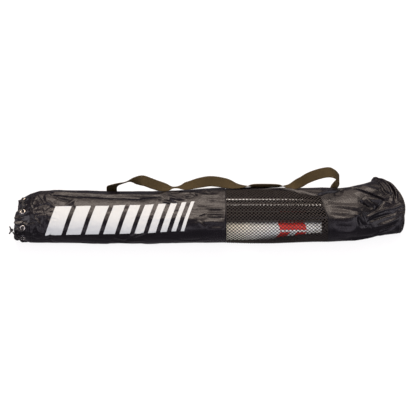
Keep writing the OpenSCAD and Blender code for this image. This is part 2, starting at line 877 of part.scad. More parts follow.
socket_radius = tube_radius + spigot_clearance;
tee_radius = socket_radius + tee_wall;
clip_radius = socket_radius + 1.6;
clip_half_width = 8;
clip_mouth = 8;
socket_floor = 4;
module tee(x) {
    clip_x = tee_length / 2 - clip_radius;
    barrel_end = clip_x - clip_radius + 3;
    branch_x = tee_radius - tee_length / 2 + 6;
    translate([x, tee_y, floor_gap + tee_radius])
        rotate([tee_lean, 0, 0])
            difference() {
                union() {
                    translate([-tee_length / 2, 0, 0]) rotate([0, 90, 0])
                        cylinder(r = tee_radius, h = barrel_end + tee_length / 2, $fn = fine);
                    translate([branch_x, 0, 0])
                        cylinder(r = tee_radius, h = branch_height, $fn = fine);
                    translate([clip_x, clip_half_width, 0]) rotate([90, 0, 0])
                        cylinder(r = clip_radius, h = 2 * clip_half_width, $fn = fine);
                }
                translate([-tee_length / 2 - 1, 0, 0]) rotate([0, 90, 0])
                    cylinder(r = socket_radius, $fn = fine,
                        h = barrel_end - socket_floor + tee_length / 2 + 1);
                translate([branch_x, 0, socket_radius + socket_floor])
                    cylinder(r = socket_radius, h = branch_height, $fn = fine);
                translate([clip_x, tee_radius + 1, 0]) rotate([90, 0, 0])
                    cylinder(r = socket_radius, h = 2 * tee_radius + 2, $fn = fine);
                translate([clip_x + clip_mouth, -tee_radius, -tee_radius])
                    cube([clip_radius, 2 * tee_radius, 2 * tee_radius]);
            }
}
module tee_left() { color("#131315") tee(tee_left_x); }
module tee_right() { color("#131315") tee(tee_right_x); }

// ---------------------------------------------------------------- net

core_radius = roll_radius - band_thickness - gap;
tie_start = 6;
module net_roll() {
    color("#2e2e31")
        along_bag(roll_start_x, roll_at) cylinder(r = core_radius, h = roll_length, $fn = fine);
}
module roll_ring(start, length) {
    along_bag(roll_start_x + start, roll_at)
        difference() {
            cylinder(r = roll_radius, h = length, $fn = fine);
            translate([0, 0, -1])
                cylinder(r = roll_radius - band_thickness, h = length + 2, $fn = fine);
        }
}
module net_band() {
    start = tie_start + tie_width + 2;
    color("#f0eee8") roll_ring(start, roll_length - start);
}
module net_tie() { color("#17171a") roll_ring(tie_start, tie_width); }

placed() left_sleeve();
placed() right_sleeve();
placed() mesh_window();
placed() back_panel();
placed() end_disc();
placed() end_piping();
placed() mouth_hem();
placed() eyelets();
placed() eyelet_washers();
placed() drawstring();
placed() drawstring_knot();
placed() carry_strap();
placed() strap_tab_left();
placed() strap_tab_right();
placed() base_rail_left();
placed() base_rail_middle();
placed() base_rail_right();
placed() snap_button_left();
placed() snap_button_middle();
placed() snap_button_right();
placed() button_spring_left();
placed() button_spring_middle();
placed() button_spring_right();
placed() upright_left();
placed() upright_left_caps();
placed() upright_right();
placed() upright_right_caps();
placed() foot_bar_left();
placed() foot_bar_left_plugs();
placed() foot_bar_right();
placed() foot_bar_right_plugs();
placed() tee_left();
placed() tee_right();
placed() net_roll();
placed() net_band();
placed() net_tie();
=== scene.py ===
"""Looks of a packed portable net set in its drawstring carry bag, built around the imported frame."""

import json
import math

import bmesh
import bpy
import numpy as np
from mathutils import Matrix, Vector


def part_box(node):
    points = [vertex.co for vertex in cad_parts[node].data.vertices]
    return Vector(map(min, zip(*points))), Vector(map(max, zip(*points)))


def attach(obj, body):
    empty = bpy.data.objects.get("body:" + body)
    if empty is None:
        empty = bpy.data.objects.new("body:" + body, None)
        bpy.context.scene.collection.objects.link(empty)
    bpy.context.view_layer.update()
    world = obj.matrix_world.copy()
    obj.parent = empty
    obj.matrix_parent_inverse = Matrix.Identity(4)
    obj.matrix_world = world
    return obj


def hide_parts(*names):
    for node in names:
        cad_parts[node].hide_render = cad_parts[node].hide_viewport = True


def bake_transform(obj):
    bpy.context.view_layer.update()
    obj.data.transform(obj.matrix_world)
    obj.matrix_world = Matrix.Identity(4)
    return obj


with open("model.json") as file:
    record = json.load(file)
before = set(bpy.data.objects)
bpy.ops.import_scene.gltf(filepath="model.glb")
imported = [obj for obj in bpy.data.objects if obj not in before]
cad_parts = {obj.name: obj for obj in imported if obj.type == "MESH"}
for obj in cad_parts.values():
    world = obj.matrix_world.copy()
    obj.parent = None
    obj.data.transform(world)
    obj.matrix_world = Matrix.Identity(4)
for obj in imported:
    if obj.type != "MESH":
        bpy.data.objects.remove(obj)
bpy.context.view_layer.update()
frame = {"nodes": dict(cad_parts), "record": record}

bl_info = {
    "name": "Packed Net Set",
    "version": (1, 0, 0),
    "blender": (4, 5, 0),
    "location": "3D View > Sidebar > Net Set",
    "description": "Drawstring carry bag with a packed free-standing net",
    "category": "Object",
}

MM = 0.001


def linear(hex_colour):
    """Turns an sRGB hex colour into linear RGBA."""
    parts = [int(hex_colour[i : i + 2], 16) / 255 for i in (1, 3, 5)]
    return tuple(
        p / 12.92 if p <= 0.04045 else ((p + 0.055) / 1.055) ** 2.4 for p in parts
    ) + (1.0,)


# ---------------------------------------------------------------- sizes and colours


def length(label, about, millimetres):
    """A size that a user may change."""
    return bpy.props.FloatProperty(
        name=label,
        description=about,
        default=millimetres * MM,
        min=0.0,
        max=1.0,
        unit="LENGTH",
        subtype="DISTANCE",
        precision=5,
    )


def colour(label, about, hex_colour):
    """A colour that a user may change."""
    return bpy.props.FloatVectorProperty(
        name=label,
        description=about,
        default=linear(hex_colour),
        size=4,
        min=0.0,
        max=1.0,
        subtype="COLOR",
    )


class BagSettings(bpy.types.PropertyGroup):
    nylon_colour: colour("Nylon", "Colour of the woven nylon", "#0c0a0e")
    lining_colour: colour("Netting", "Colour of the knitted window netting", "#231e1a")
    print_colour: colour("Print", "Colour of the printed stripes", "#b4bab8")
    cord_colour: colour("Cord", "Colour of the drawstring", "#161517")
    webbing_colour: colour("Webbing", "Colour of the shoulder strap", "#42371f")
    cell: length("Cell", "Spacing of the points of the crumpled fabric", 1.7)
    crumple: bpy.props.FloatProperty(
        name="Crumple",
        description="Strength of the creases in the nylon",
        default=1.0,
        min=0.0,
        max=2.0,
    )
    mesh_pitch: length("Mesh pitch", "Spacing of the window's holes along the bag", 9.0)
    mesh_rise: length("Mesh rise", "Spacing of the window's holes round the bag", 8.6)
    strand_radius: length("Strand", "Radius of a strand of the window netting", 0.8)
    stitch_length: length("Stitch", "Length of one stitch", 3.0)
    stitch_pitch: length("Stitch pitch", "Distance from one stitch to the next", 4.2)
    thread_radius: length("Thread", "Radius of the sewing thread", 0.35)


class NetSettings(bpy.types.PropertyGroup):
    tape_colour: colour("Tape", "Colour of the net's head tape", "#edf4f2")
    mark_colour: colour("Marks", "Colour of the marks on the head tape", "#d8150f")
    netting_colour: colour("Netting", "Colour of the rolled netting", "#17171a")
    turns: bpy.props.IntProperty(
        name="Turns", description="Turns of the rolled net", default=7, min=2, max=12
    )
    paint_colour: colour("Paint", "Colour of the tubes' paint", "#040405")
    plastic_colour: colour("Plastic", "Colour of plugs and tees", "#17171a")
    steel_colour: colour("Steel", "Colour of buttons and eyelets", "#c8c4bc")


class StageSettings(bpy.types.PropertyGroup):
    floor_colour: colour("Floor", "Colour of the floor", "#6a6969")
    view_width: length("View width", "Width of the ground that the camera sees", 998.4)


# ---------------------------------------------------------------- the bag's wall


def corner(node, axis, high):
    """One side of a frame node's box, in millimetres."""
    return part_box(node)[1 if high else 0][axis] / MM


# Thickness of the fabric, and the gaps between pieces and over the ground
FABRIC = 1.2
GAP = 0.3
GROUND_GAP = 0.05
MOUTH_X = -460.15
HEM_X = -424.15
WINDOW_START, WINDOW_END = 42.85, 288.85
END_X = 468.85
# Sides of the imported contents, with the fabric that lies on them
CONTENT_FRONT = corner("net_band", 1, False) - GAP - FABRIC
CONTENT_BACK = corner("base_rail_right", 1, True) + GAP + FABRIC
CONTENT_TOP = corner("upright_right", 2, True) + GAP + FABRIC
# Slack of the fabric round the contents: distance from the mouth, front, back, top
MOUTH_SLACK = np.array(
    [
        [0, 3, -21, -15], [19, 5, -9, -12], [36, 8, -1, -5], [58, 9, 5, 1], [106, 10, 8, 2],
        [202, 12, 5, 2], [317, 13, 4, 2], [394, 11, 8, 2], [461, 10, 12, 3],
    ],
    float,
)
# The same from the closed end
END_SLACK = np.array(
    [
        [0, -20, 54, -27], [27, -15, 46, -21], [52, -10, 40, -15], [82, -4, 30, -7],
        [112, 3, 22, -1], [136, 6, 17, 1], [155, 6, 14, 2], [184, 7, 14, 3],
        [251, 9, 14, 3], [309, 12, 15, 3], [366, 12, 16, 3], [430, 10, 15, 3], [468, 10, 12, 3],
    ],
    float,
)
# Height of the underside near the mouth
MOUTH_LIFT = np.array([[0, 9], [19, 8], [36, 0]], float)
# Where the two tables meet, the middle of the bag
MIDDLE_X = 0.85
# How square the section is, and how much of its round the flat underside cuts off
ROUND = 0.8
FLAT_DEPTH = 8.0
# The closed end is cut back from here on; depth of the cut at a distance from its middle
SLANT_START = END_X - 138
SLANT_MIDDLE = -8.0
SLANT_BACK, SLANT_FRONT = (62, 97), (16, 50)


def unit(vector):
    return vector / np.linalg.norm(vector)


def distances(path):
    """How far each point of a path is along it."""
    steps = np.linalg.norm(np.diff(np.asarray(path, float), axis=0), axis=1)
    return np.concatenate([[0], np.cumsum(steps)])


def underside(x):
    """Height of the underside over the ground."""
    return np.interp(x - MOUTH_X, MOUTH_LIFT[:, 0], MOUTH_LIFT[:, 1])


def slack(x, column):
    """Slack of the fabric at x on one side of the contents."""
    near_mouth = np.interp(x - MOUTH_X, MOUTH_SLACK[:, 0], MOUTH_SLACK[:, column])
    near_end = np.interp(END_X - x, END_SLACK[:, 0], END_SLACK[:, column])
    return np.where(x < MIDDLE_X, near_mouth, near_end)


def slant(x, y):
    """How far the closed end is cut back."""
    share = np.clip((x - SLANT_START) / (END_X - SLANT_START), 0, 1)
    aside = y - SLANT_MIDDLE
    back, front = (deep * (aside / away) ** 2 for deep, away in (SLANT_BACK, SLANT_FRONT))
    return share * np.where(aside > 0, back, front)


def signed_power(value):
    """Squares the section's round."""
    return np.sign(value) * np.abs(value) ** ROUND


def wall(x, angle, inset=0.0):
    """Outside of the bag in millimetres; angle 0 is the back, 90 the top, 180 the front."""
    x, angle = np.broadcast_arrays(np.asarray(x, float), np.asarray(angle, float))
    front = CONTENT_FRONT - slack(x, 1)
    back = CONTENT_BACK + slack(x, 2)
    top = CONTENT_TOP + slack(x, 3)
    ground = underside(x)
    turn = np.radians(angle)
    y = (back + front) / 2 + ((back - front) / 2 - inset) * signed_power(np.cos(turn))
    half_height = (top - ground + FLAT_DEPTH) / 2 - inset
    z = (top + ground - FLAT_DEPTH) / 2 + half_height * signed_power(np.sin(turn))
    return np.stack([x - slant(x, y), y, np.maximum(z, ground + inset)], -1)


def outward(x, angle, surface=wall):
    """Direction out of the fabric."""
    along = surface(x + 0.8, angle) - surface(x - 0.8, angle)
    across = surface(x, angle + 0.7) - surface(x, angle - 0.7)
    normal = np.cross(across, along)
    return normal / np.maximum(np.linalg.norm(normal, axis=-1, keepdims=True), 1e-9)


# Distance round the fabric from the middle of the top, towards the front, and the half
# width and height of the usual section that it is measured on
HALF_WIDTH, HALF_HEIGHT = 75, 47
SECTION_ANGLES = np.linspace(-90, 270, 2881)
SECTION_TURNS = np.radians(SECTION_ANGLES)
SECTION_ARC = distances(
    np.stack(
        [
            HALF_WIDTH * signed_power(np.cos(SECTION_TURNS)),
            HALF_HEIGHT * signed_power(np.sin(SECTION_TURNS)),
        ],
        -1,
    )
)
SECTION_ARC -= np.interp(90, SECTION_ANGLES, SECTION_ARC)


def arc_at(angle):
    """Distance round the fabric at an angle."""
    return np.interp((np.asarray(angle, float) + 90) % 360 - 90, SECTION_ANGLES, SECTION_ARC)


def angle_at(arc):
    """Angle at a distance round the fabric."""
    return np.interp(arc, SECTION_ARC, SECTION_ANGLES)


def even_angles(start, end, count):
    """Angles that lie evenly round the fabric; end may pass 270."""
    whole = SECTION_ARC[-1] - SECTION_ARC[0]
    low = float(arc_at(start))
    high = low + (float(arc_at(end)) - low) % whole
    if end - start >= 360:
        high = low + whole
    arcs = np.linspace(low, high, count)
    wrapped = (arcs - SECTION_ARC[0]) % whole + SECTION_ARC[0]
    return angle_at(wrapped) + np.where(arcs > SECTION_ARC[-1] + 1e-6, 360, 0)


# The window's far seam leans towards the mouth: by how much, about which angle, how widely
SEAM_LEAN, SEAM_TOP, SEAM_SPREAD = 24, 45, 85


def window_seam(angle):
    """X of the window's far seam."""
    turn = (np.asarray(angle, float) + 180) % 360 - 180
    share = np.clip((turn - SEAM_TOP) / SEAM_SPREAD, -1, 1)
    return WINDOW_END - SEAM_LEAN * (1 - share * share) ** 2


# ---------------------------------------------------------------- folds


def smooth(low, high, value):
    """Goes softly from 0 at low to 1 at high."""
    share = np.clip((value - low) / (high - low), 0, 1)
    return share * share * (3 - 2 * share)


def swell(x, v, size, seed):
    """A soft random height between about -1 and 1 with hills of the given size."""
    draws = np.random.default_rng(seed)
    total = np.zeros(np.shape(x))
    for _ in range(7):
        heading = draws.uniform(0, math.pi)
        wave = 2 * math.pi / (size * draws.uniform(0.8, 1.9))
        phase = draws.uniform(0, 2 * math.pi)
        total += np.sin((x * math.cos(heading) + v * math.sin(heading)) * wave + phase)
    return total / 3.2


def pleats(x, v, size, seed):
    """Sharp-edged crumples: flat facets that meet in straight creases."""
    draws = np.random.default_rng(seed)
    bend_x = x + 0.35 * size * swell(x, v, 2.2 * size, seed + 50)
    bend_v = v + 0.35 * size * swell(x, v, 2.2 * size, seed + 51)
    total = np.zeros(np.shape(x))
    for k in range(5):
        heading = draws.uniform(0, math.pi)
        wave = 1 / (size * draws.uniform(0.8, 1.8))
        phase = draws.uniform(0, 1)
        step = (bend_x * math.cos(heading) + bend_v * math.sin(heading)) * wave + phase
        facet = 4 * np.abs(step % 1 - 0.5) - 1
        total += facet * (0.5 + 0.5 * swell(x, v, 3 * size, seed + 10 + k))
    return total / 3


def crease(x, v, start, end, width, height, bow):
    """One fold from start to end (x, v), a tent of the given height, bowed sideways."""
    along = np.array(end, float) - start
    span = np.hypot(*along)
    along /= span
    from_x, from_v = x - start[0], v - start[1]
    share = (from_x * along[0] + from_v * along[1]) / span
    aside = from_v * along[0] - from_x * along[1] - bow * 4 * share * (1 - share)
    fade = np.clip(1 - np.abs(2 * share - 1) ** 3, 0, 1)
    return height * fade * np.clip(1 - np.abs(aside) / width, 0, 1)


def scattered(x, v, zone, seed):
    """Random creases in one of the zones listed below."""
    x_range, v_range, count, lengths, heading, spread, width, height = zone
    draws = np.random.default_rng(seed)
    total = np.zeros(np.shape(x))
    for _ in range(count):
        at = np.array([draws.uniform(*x_range), draws.uniform(*v_range)])
        turn = math.radians(heading + draws.uniform(-spread, spread))
        reach = draws.uniform(*lengths) / 2 * np.array([math.cos(turn), math.sin(turn)])
        rise = height * draws.uniform(0.4, 1) * draws.choice([-1, 1])
        total += crease(
            x, v, at - reach, at + reach, width * draws.uniform(0.6, 1.4), rise,
            draws.uniform(-0.15, 0.15) * np.hypot(*reach),
        )
    return total


# Folds placed one by one: start, end, half width, height, bow
LEFT_FOLDS = [
    # the tuck under the pole along the top, and the ridge behind it
    ((-380, -40), (-296, -31), 4, -4.0, 2), ((-320, -32), (-222, -29), 4, -4.0, 0),
    ((-244, -29), (-148, -25), 4, -4.2, 0), ((-172, -26), (-104, -31), 4, -3.6, -2),
    ((-384, -53), (-240, -44), 10, 4.2, 2), ((-270, -45), (-100, -41), 9, 3.6, 0),
    # the swirl beside the mouth
    ((-372, -40), (-326, -18), 6, -4.0, 4), ((-312, -36), (-342, 2), 6, 2.6, -3),
    ((-388, -44), (-362, 4), 8, 3.0, 5), ((-322, -14), (-314, 8), 4, -2.0, 3),
    ((-402, 14), (-372, 76), 9, -2.6, 10), ((-392, 40), (-384, 72), 5, 2.0, 5),
    ((-410, 60), (-376, 88), 7, 2.4, 4), ((-418, 20), (-392, -20), 6, 2.4, -4),
    # the web of thin creases that fans out from the hem
    ((-413, 30), (-419, -9), 3, 2.8, 1), ((-419, -9), (-407, -42), 3, 2.6, -1),
    ((-413, 30), (-398, -19), 3, 3.0, 2), ((-413, 30), (-426, 58), 3, 2.6, 1),
    ((-413, 30), (-396, 68), 3, 2.8, -2), ((-413, 30), (-383, 25), 3, 2.4, 1),
    ((-390, 1), (-407, -42), 3, -2.6, 2), ((-372, 48), (-388, 22), 3, -2.4, 1),
    # the sharp fold low on the front
    ((-197, 99), (-143, 70), 3.2, -3.6, 0), ((-200, 94), (-146, 64), 4.5, 2.6, 0),
    ((-150, 100), (-196, 107), 5, 1.6, 2), ((-226, 84), (-190, 97), 5, 1.8, 2),
    # lumps beside the strap
    ((-124, -34), (-84, -12), 5, 3.0, 4), ((-118, -22), (-70, -8), 4, -3.0, -4),
    ((-96, -38), (-48, -24), 6, 2.8, 5), ((-90, -28), (-74, -9), 3.5, -3.4, 2),
    ((-60, -30), (-30, -34), 5, -2.8, 3), ((-44, -48), (-26, -34), 5, -3.0, -2),
    ((-74, -46), (-30, -42), 6, 2.4, -4), ((-26, -40), (30, -34), 8, 1.8, 4),
    # flat tucks that run into the window's seam
    ((-8, 8), (42, 10), 4, 1.5, 1), ((-4, 18), (42, 19), 4, -1.6, 0),
    ((-10, 27), (42, 28), 4, 1.6, -1), ((-2, 37), (42, 38), 4, -1.6, 1),
    ((-12, 48), (42, 49), 4, 1.4, 0), ((-4, 61), (42, 60), 5, -2.2, -2),
    ((-22, 35), (-2, 24), 4, -2.4, 2), ((-24, 42), (0, 62), 5, 1.8, 3),
    ((-70, 62), (100, 66), 50, 7.0, 0),
]
RIGHT_FOLDS = [
    # the long crease from the top to the piping, and the fan of folds behind it
    ((340, -64), (440, 9), 3.6, -8.5, 2), ((350, -46), (436, 14), 11, 4.2, 4),
    ((372, -66), (432, -20), 12, 3.6, 6), ((454, -84), (440, 10), 6, 6.0, -5),
    ((462, -66), (447, 4), 4.5, -6.0, -4), ((468, -58), (455, -4), 5, 4.4, -3),
    ((442, -80), (431, -20), 5, -5.0, 4), ((426, -40), (450, -10), 5, -4.4, 4),
    ((424, -116), (466, -80), 14, 9.0, 2), ((384, -84), (424, -92), 6, -4.0, 3),
    # the pocket fold with its dark slit
    ((365, -7), (390, 23), 4, -8.0, 0), ((374, -14), (402, 20), 6, 5.0, 0),
    ((380, -10), (421, 2), 5, 3.4, 2), ((399, 29), (421, 3), 4.5, -4.0, 0),
    # the sharp tuck beside the window's upper corner
    ((256, -25), (330, -62), 4, -7.0, -2), ((262, -34), (322, -62), 7, 3.0, -2),
    # the dent under the strap
    ((306, -75), (306, -28), 20, -4.0, 0),
    # soft ridges that run from the seam
    ((240, 44), (410, 40), 44, 6.0, 0), ((284, 0), (390, 28), 10, 2.0, -5),
    ((286, 9), (372, 34), 10, -0.9, -4), ((292, 22), (342, 27), 8, 0.9, 2),
    ((296, 44), (352, 50), 12, 1.6, 3), ((300, 60), (352, 64), 12, -1.8, 3),
    ((304, 76), (362, 84), 14, 2.4, -4),
    ((360, 36), (386, 70), 8, -6.0, 5), ((350, 30), (378, 76), 7, 3.6, -8),
    # the fold across to the piping
    ((380, 47), (438, 25), 5, 5.4, -3), ((428, 28), (470, 15), 5, 4.6, 2),
    ((384, 58), (452, 38), 6, -5.0, -3), ((398, 72), (464, 52), 9, 4.4, 4),
    ((406, 107), (464, 80), 8, 4.6, 5), ((418, 94), (462, 68), 5, -4.4, -3),
    ((330, 98), (432, 114), 9, -3.6, 5), ((310, 106), (420, 124), 9, 2.6, 5),
]
# Zones of random creases: x and v ranges, count, lengths, heading, spread, half width, height
LEFT_ZONES = [
    ((-424, 42), (-95, 125), 30, (40, 120), 0, 12, 7, 0.9),
    ((-424, -370), (-90, 120), 32, (18, 46), 0, 80, 3.8, 2.4),
    ((-300, -40), (85, 130), 12, (40, 90), 5, 12, 7, 1.6),
    ((-120, 10), (-70, 5), 12, (18, 40), 10, 50, 5, 1.8),
    ((-40, 42), (-60, 110), 10, (24, 50), 0, 9, 4.5, 0.7),
]
RIGHT_ZONES = [
    ((345, 468), (-110, 150), 16, (30, 80), 15, 60, 9, 1.1),
    ((400, 468), (-110, 150), 16, (16, 40), 0, 90, 5, 1.8),
    ((290, 340), (-40, 120), 6, (30, 60), 0, 15, 9, 0.2),
]


def tube_circle(node):
    """Centre (y, z), radius and ends of a round frame node that lies along the bag."""
    low, high = (np.array(side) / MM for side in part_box(node))
    return (low[1:] + high[1:]) / 2, (high[2] - low[2]) / 2, low[0], high[0]


CONTENTS = [
    tube_circle(node)
    for node in (
        "base_rail_left", "base_rail_middle", "base_rail_right", "upright_left",
        "upright_right", "foot_bar_left", "foot_bar_right", "net_band",
    )
]


# Distances from the contents beyond this one make no difference
FAR_OFF = 60.0


def room(points):
    """Distance from the fabric down to the contents, at most FAR_OFF."""
    least = np.full(points.shape[:-1], FAR_OFF)
    for centre, radius, start, end in CONTENTS:
        beside = np.maximum(np.maximum(start - points[..., 0], points[..., 0] - end), 0)
        across = np.hypot(points[..., 1] - centre[0], points[..., 2] - centre[1]) - radius
        least = np.minimum(least, np.hypot(beside, np.maximum(across, 0)))
    return least


def height(x, angle, strength):
    """How far the crumpled fabric stands out of the plain wall, in millimetres."""
    v = arc_at(angle)
    left = 1 - smooth(-10, 20, x - WINDOW_START)
    right = smooth(-20, 0, x - window_seam(angle))
    mouth = 1 - smooth(-410, -330, x)
    end = smooth(330, 420, x)
    rise = 0.7 * swell(x, v, 70, 3)
    rise += left * (0.3 + 0.5 * mouth) * pleats(x * 0.45, v, 18, 11)
    rise += (0.8 * left * mouth + 0.4 * end) * pleats(x, v, 26, 23)
    rise += right * 0.35 * pleats(0.6 * x, v, 36, 71)
    for share, folds in ((left, LEFT_FOLDS), (right, RIGHT_FOLDS)):
        for fold in folds:
            rise += share * crease(x, v, *fold)
    for share, zones, seed in ((left, LEFT_ZONES, 100), (right, RIGHT_ZONES, 200)):
        for k, zone in enumerate(zones):
            rise += share * scattered(x, v, zone, seed + k)
    return strength * rise


# The fabric lies this far off the contents; its folds go this deep and this high
CLEARANCE = 0.9
DEEPEST, HIGHEST, HIGHEST_AT_END = -9, 7.5, 10.0
END_FOLDS_X = 400


def crumpled(x, angle, inset, strength):
    """The fabric with its folds, kept off the contents and above the ground."""
    x, angle = np.broadcast_arrays(np.asarray(x, float), np.asarray(angle, float))
    points = wall(x, angle)
    normal = outward(x, angle)
    rise = np.maximum(height(x, angle, strength), CLEARANCE - room(points))
    fade = smooth(1.0, 12.0, points[..., 2] - underside(x))
    highest = np.where(x > END_FOLDS_X, HIGHEST_AT_END, HIGHEST)
    rise = np.clip(rise, DEEPEST, highest) * fade
    moved = points + normal * (rise - inset)[..., None]
    moved[..., 2] = np.maximum(moved[..., 2], GROUND_GAP + inset)
    return moved


# ---------------------------------------------------------------- meshes


def grid(rows, columns):
    """Each of two lists of numbers, spread over rows x columns."""
    return np.meshgrid(rows, columns, indexing="ij")


def grid_quads(rows, columns, wrap=False):
    """Quads of a grid of points that face along rows x columns."""
    i, j = grid(np.arange(rows - 1), np.arange(columns if wrap else columns - 1))
    a = i * columns + j
    b = i * columns + (j + 1) % columns
    return np.stack([a, b, b + columns, a + columns], -1).reshape(-1, 4)


def capped_faces(rows, columns):
    """Faces of a row of rings that is closed at both ends."""
    ring = list(range(columns))
    last = [(rows - 1) * columns + j for j in ring]
    return grid_quads(rows, columns, True).tolist() + [ring[::-1], last]


def linked(name, mesh):
    """An object with this mesh, in the scene."""
    made = bpy.data.objects.new(name, mesh)
    bpy.context.scene.collection.objects.link(made)
    return made


def mesh_object(name, points, faces, uv):
    """A smooth object from points in millimetres, faces and one uv pair for each point."""
    mesh = bpy.data.meshes.new(name)
    faces = faces if isinstance(faces, list) else faces.tolist()
    mesh.from_pydata((np.reshape(points, (-1, 3)) * MM).tolist(), [], faces)
    corners = np.zeros(len(mesh.loops), int)
    mesh.loops.foreach_get("vertex_index", corners)
    uv = np.reshape(uv, (-1, 2))[corners]
    mesh.uv_layers.new(name="cloth").data.foreach_set("uv", uv.ravel())
    mesh.polygons.foreach_set("use_smooth", [True] * len(mesh.polygons))
    mesh.update()
    return linked(name, mesh)


def merged(forms):
    """Several forms, each of points, faces and uv, as one."""
    points, faces, uv = [], [], []
    for own_points, own_faces, own_uv in forms:
        faces += [[len(points) + v for v in face] for face in own_faces]
        points += np.reshape(own_points, (-1, 3)).tolist()
        uv += np.reshape(own_uv, (-1, 2)).tolist()
    return points, faces, uv


# The fabric's own coordinates at x = 0 and at the middle of the top, in metres
CLOTH_U, CLOTH_V = 0.5, 0.25


def cloth_uv(x, angle):
    """The fabric's own coordinates in metres: along the bag and round it."""
    return np.stack([x * MM + CLOTH_U, arc_at(angle) * MM + CLOTH_V], -1)


def cloth_piece(name, x, angle, wrap, strength, tucks=(0, 0)):
    """Crumpled fabric over a grid of sections; tucks turn its first and last edge in."""
    points, uv = list(crumpled(x, angle, 0.0, strength)), list(cloth_uv(x, angle))
    for side in (0, -1):
        if tucks[side]:
            edge = points[side] - outward(x[side], angle[side])
            turned, repeated = [edge, edge + [tucks[side], 0, 0]], [uv[side]] * 2
            if side == 0:
                points, uv = turned[::-1] + points, repeated + uv
            else:
                points, uv = points + turned, uv + repeated
    return mesh_object(name, points, grid_quads(len(points), angle.shape[1], wrap), uv)


CORD_SIDES = 12


def tube_points(path, radius, start_side=(0.0, 0.0, 1.0)):
    """Rings of points round a path, without twist."""
    path = np.asarray(path, float)
    along = np.gradient(path, axis=0)
    along /= np.linalg.norm(along, axis=1, keepdims=True)
    side = np.array(start_side, float)
    turns = np.linspace(0, 2 * math.pi, CORD_SIDES, endpoint=False)[:, None]
    rings = []
    for point, direction, size in zip(path, along, np.broadcast_to(radius, len(path))):
        side = unit(side - direction * (side @ direction))
        other = np.cross(direction, side)
        rings.append(point + size * (np.cos(turns) * side + np.sin(turns) * other))
    return np.array(rings)


def cord_form(path, radius):
    """A round cord with closed ends; radius is one number or one for each point."""
    around = np.arange(CORD_SIDES) / CORD_SIDES * 2 * math.pi * np.mean(radius)
    uv = np.stack(grid(distances(path) * MM, around * MM), -1)
    return tube_points(path, radius), capped_faces(len(path), CORD_SIDES), uv


def spline(points, steps):
    """A smooth curve through points of any dimension."""
    points = np.asarray(points, float)
    padded = np.concatenate([points[:1], points, points[-1:]])
    rows = []
    for i in range(len(points) - 1):
        before, start, end, after = padded[i : i + 4]
        bend = 2 * before - 5 * start + 4 * end - after
        twist = 3 * start - before - 3 * end + after
        for s in np.arange(steps) / steps:
            rows.append(0.5 * (2 * start + (end - before) * s + bend * s * s + twist * s ** 3))
    return np.array(rows + [points[-1]])


# ---------------------------------------------------------------- node trees


def add(tree, kind, inputs=None, stops=(), **settings):
    """Adds a node with its settings, inputs (values, or sockets to link) and a ramp's stops."""
    made = tree.nodes.new(kind)
    for key, value in settings.items():
        setattr(made, key, value)
    for key, value in (inputs or {}).items():
        if isinstance(value, bpy.types.NodeSocket):
            tree.links.new(value, made.inputs[key])
        else:
            made.inputs[key].default_value = value
    for k, (position, value) in enumerate(stops):
        elements = made.color_ramp.elements
        element = elements[k] if k < len(elements) else elements.new(position)
        element.position, element.color = position, value
    return made


def reckon(tree, value, *steps):
    """Takes a socket through steps, each an operation and its second number or socket."""
    for operation, other in steps:
        value = add(tree, "ShaderNodeMath", {0: value, 1: other}, operation=operation).outputs[0]
    return value


def grow(name, paths, sizes, material, build):
    """A plain mesh that a geometry tree makes of paths; build adds what is the tree's own."""
    tree = bpy.data.node_groups.new(name, "GeometryNodeTree")
    sockets = tree.interface
    sockets.new_socket("Geometry", in_out="INPUT", socket_type="NodeSocketGeometry")
    named = {}
    for label, value in sizes.items():
        kind = "NodeSocketInt" if isinstance(value, int) else "NodeSocketFloat"
        named[label] = sockets.new_socket(label, in_out="INPUT", socket_type=kind)
        named[label].default_value = value
    sockets.new_socket("Geometry", in_out="OUTPUT", socket_type="NodeSocketGeometry")
    given = add(tree, "NodeGroupInput").outputs
    curve = add(tree, "GeometryNodeMeshToCurve", {"Mesh": given["Geometry"]}).outputs[0]
    real = add(tree, "GeometryNodeRealizeInstances", {"Geometry": build(tree, curve, given)})
    dressed = add(
        tree, "GeometryNodeSetMaterial", {"Geometry": real.outputs[0], "Material": material}
    )
    add(tree, "NodeGroupOutput", {0: dressed.outputs[0]})

    points, edges = [], []
    for path in paths:
        first = len(points)
        points += (np.asarray(path) * MM).tolist()
        edges += [(k, k + 1) for k in range(first, len(points) - 1)]
    mesh = bpy.data.meshes.new(name)
    mesh.from_pydata(points, edges, [])
    piece = linked(name, mesh)
    modifier = piece.modifiers.new(name, "NODES")
    modifier.node_group = tree
    for label, value in sizes.items():
        modifier[named[label].identifier] = value
    bpy.context.view_layer.update()
    evaluated = piece.evaluated_get(bpy.context.evaluated_depsgraph_get())
    made = bpy.data.meshes.new_from_object(evaluated)
    piece.modifiers.remove(modifier)
    piece.data = made
    return piece


def strands(tree, curve, given):
    """Round strands along a curve, with a knot at every second point."""
    ring = add(
        tree, "GeometryNodeCurvePrimitiveCircle",
        {"Radius": given["Strand radius"], "Resolution": given["Sides"]},
    ).outputs["Curve"]
    place = add(tree, "GeometryNodeSplineParameter").outputs["Index"]
    thickness = add(
        tree, "ShaderNodeMath",
        {0: reckon(tree, place, ("MODULO", 2.0)), 1: given["Thinning"], 2: given["Knot"]},
        operation="MULTIPLY_ADD",
    ).outputs[0]
    solid = add(
        tree, "GeometryNodeCurveToMesh",
        {"Curve": curve, "Profile Curve": ring, "Scale": thickness},
    )
    return add(tree, "GeometryNodeSetShadeSmooth", {"Geometry": solid.outputs[0]}).outputs[0]


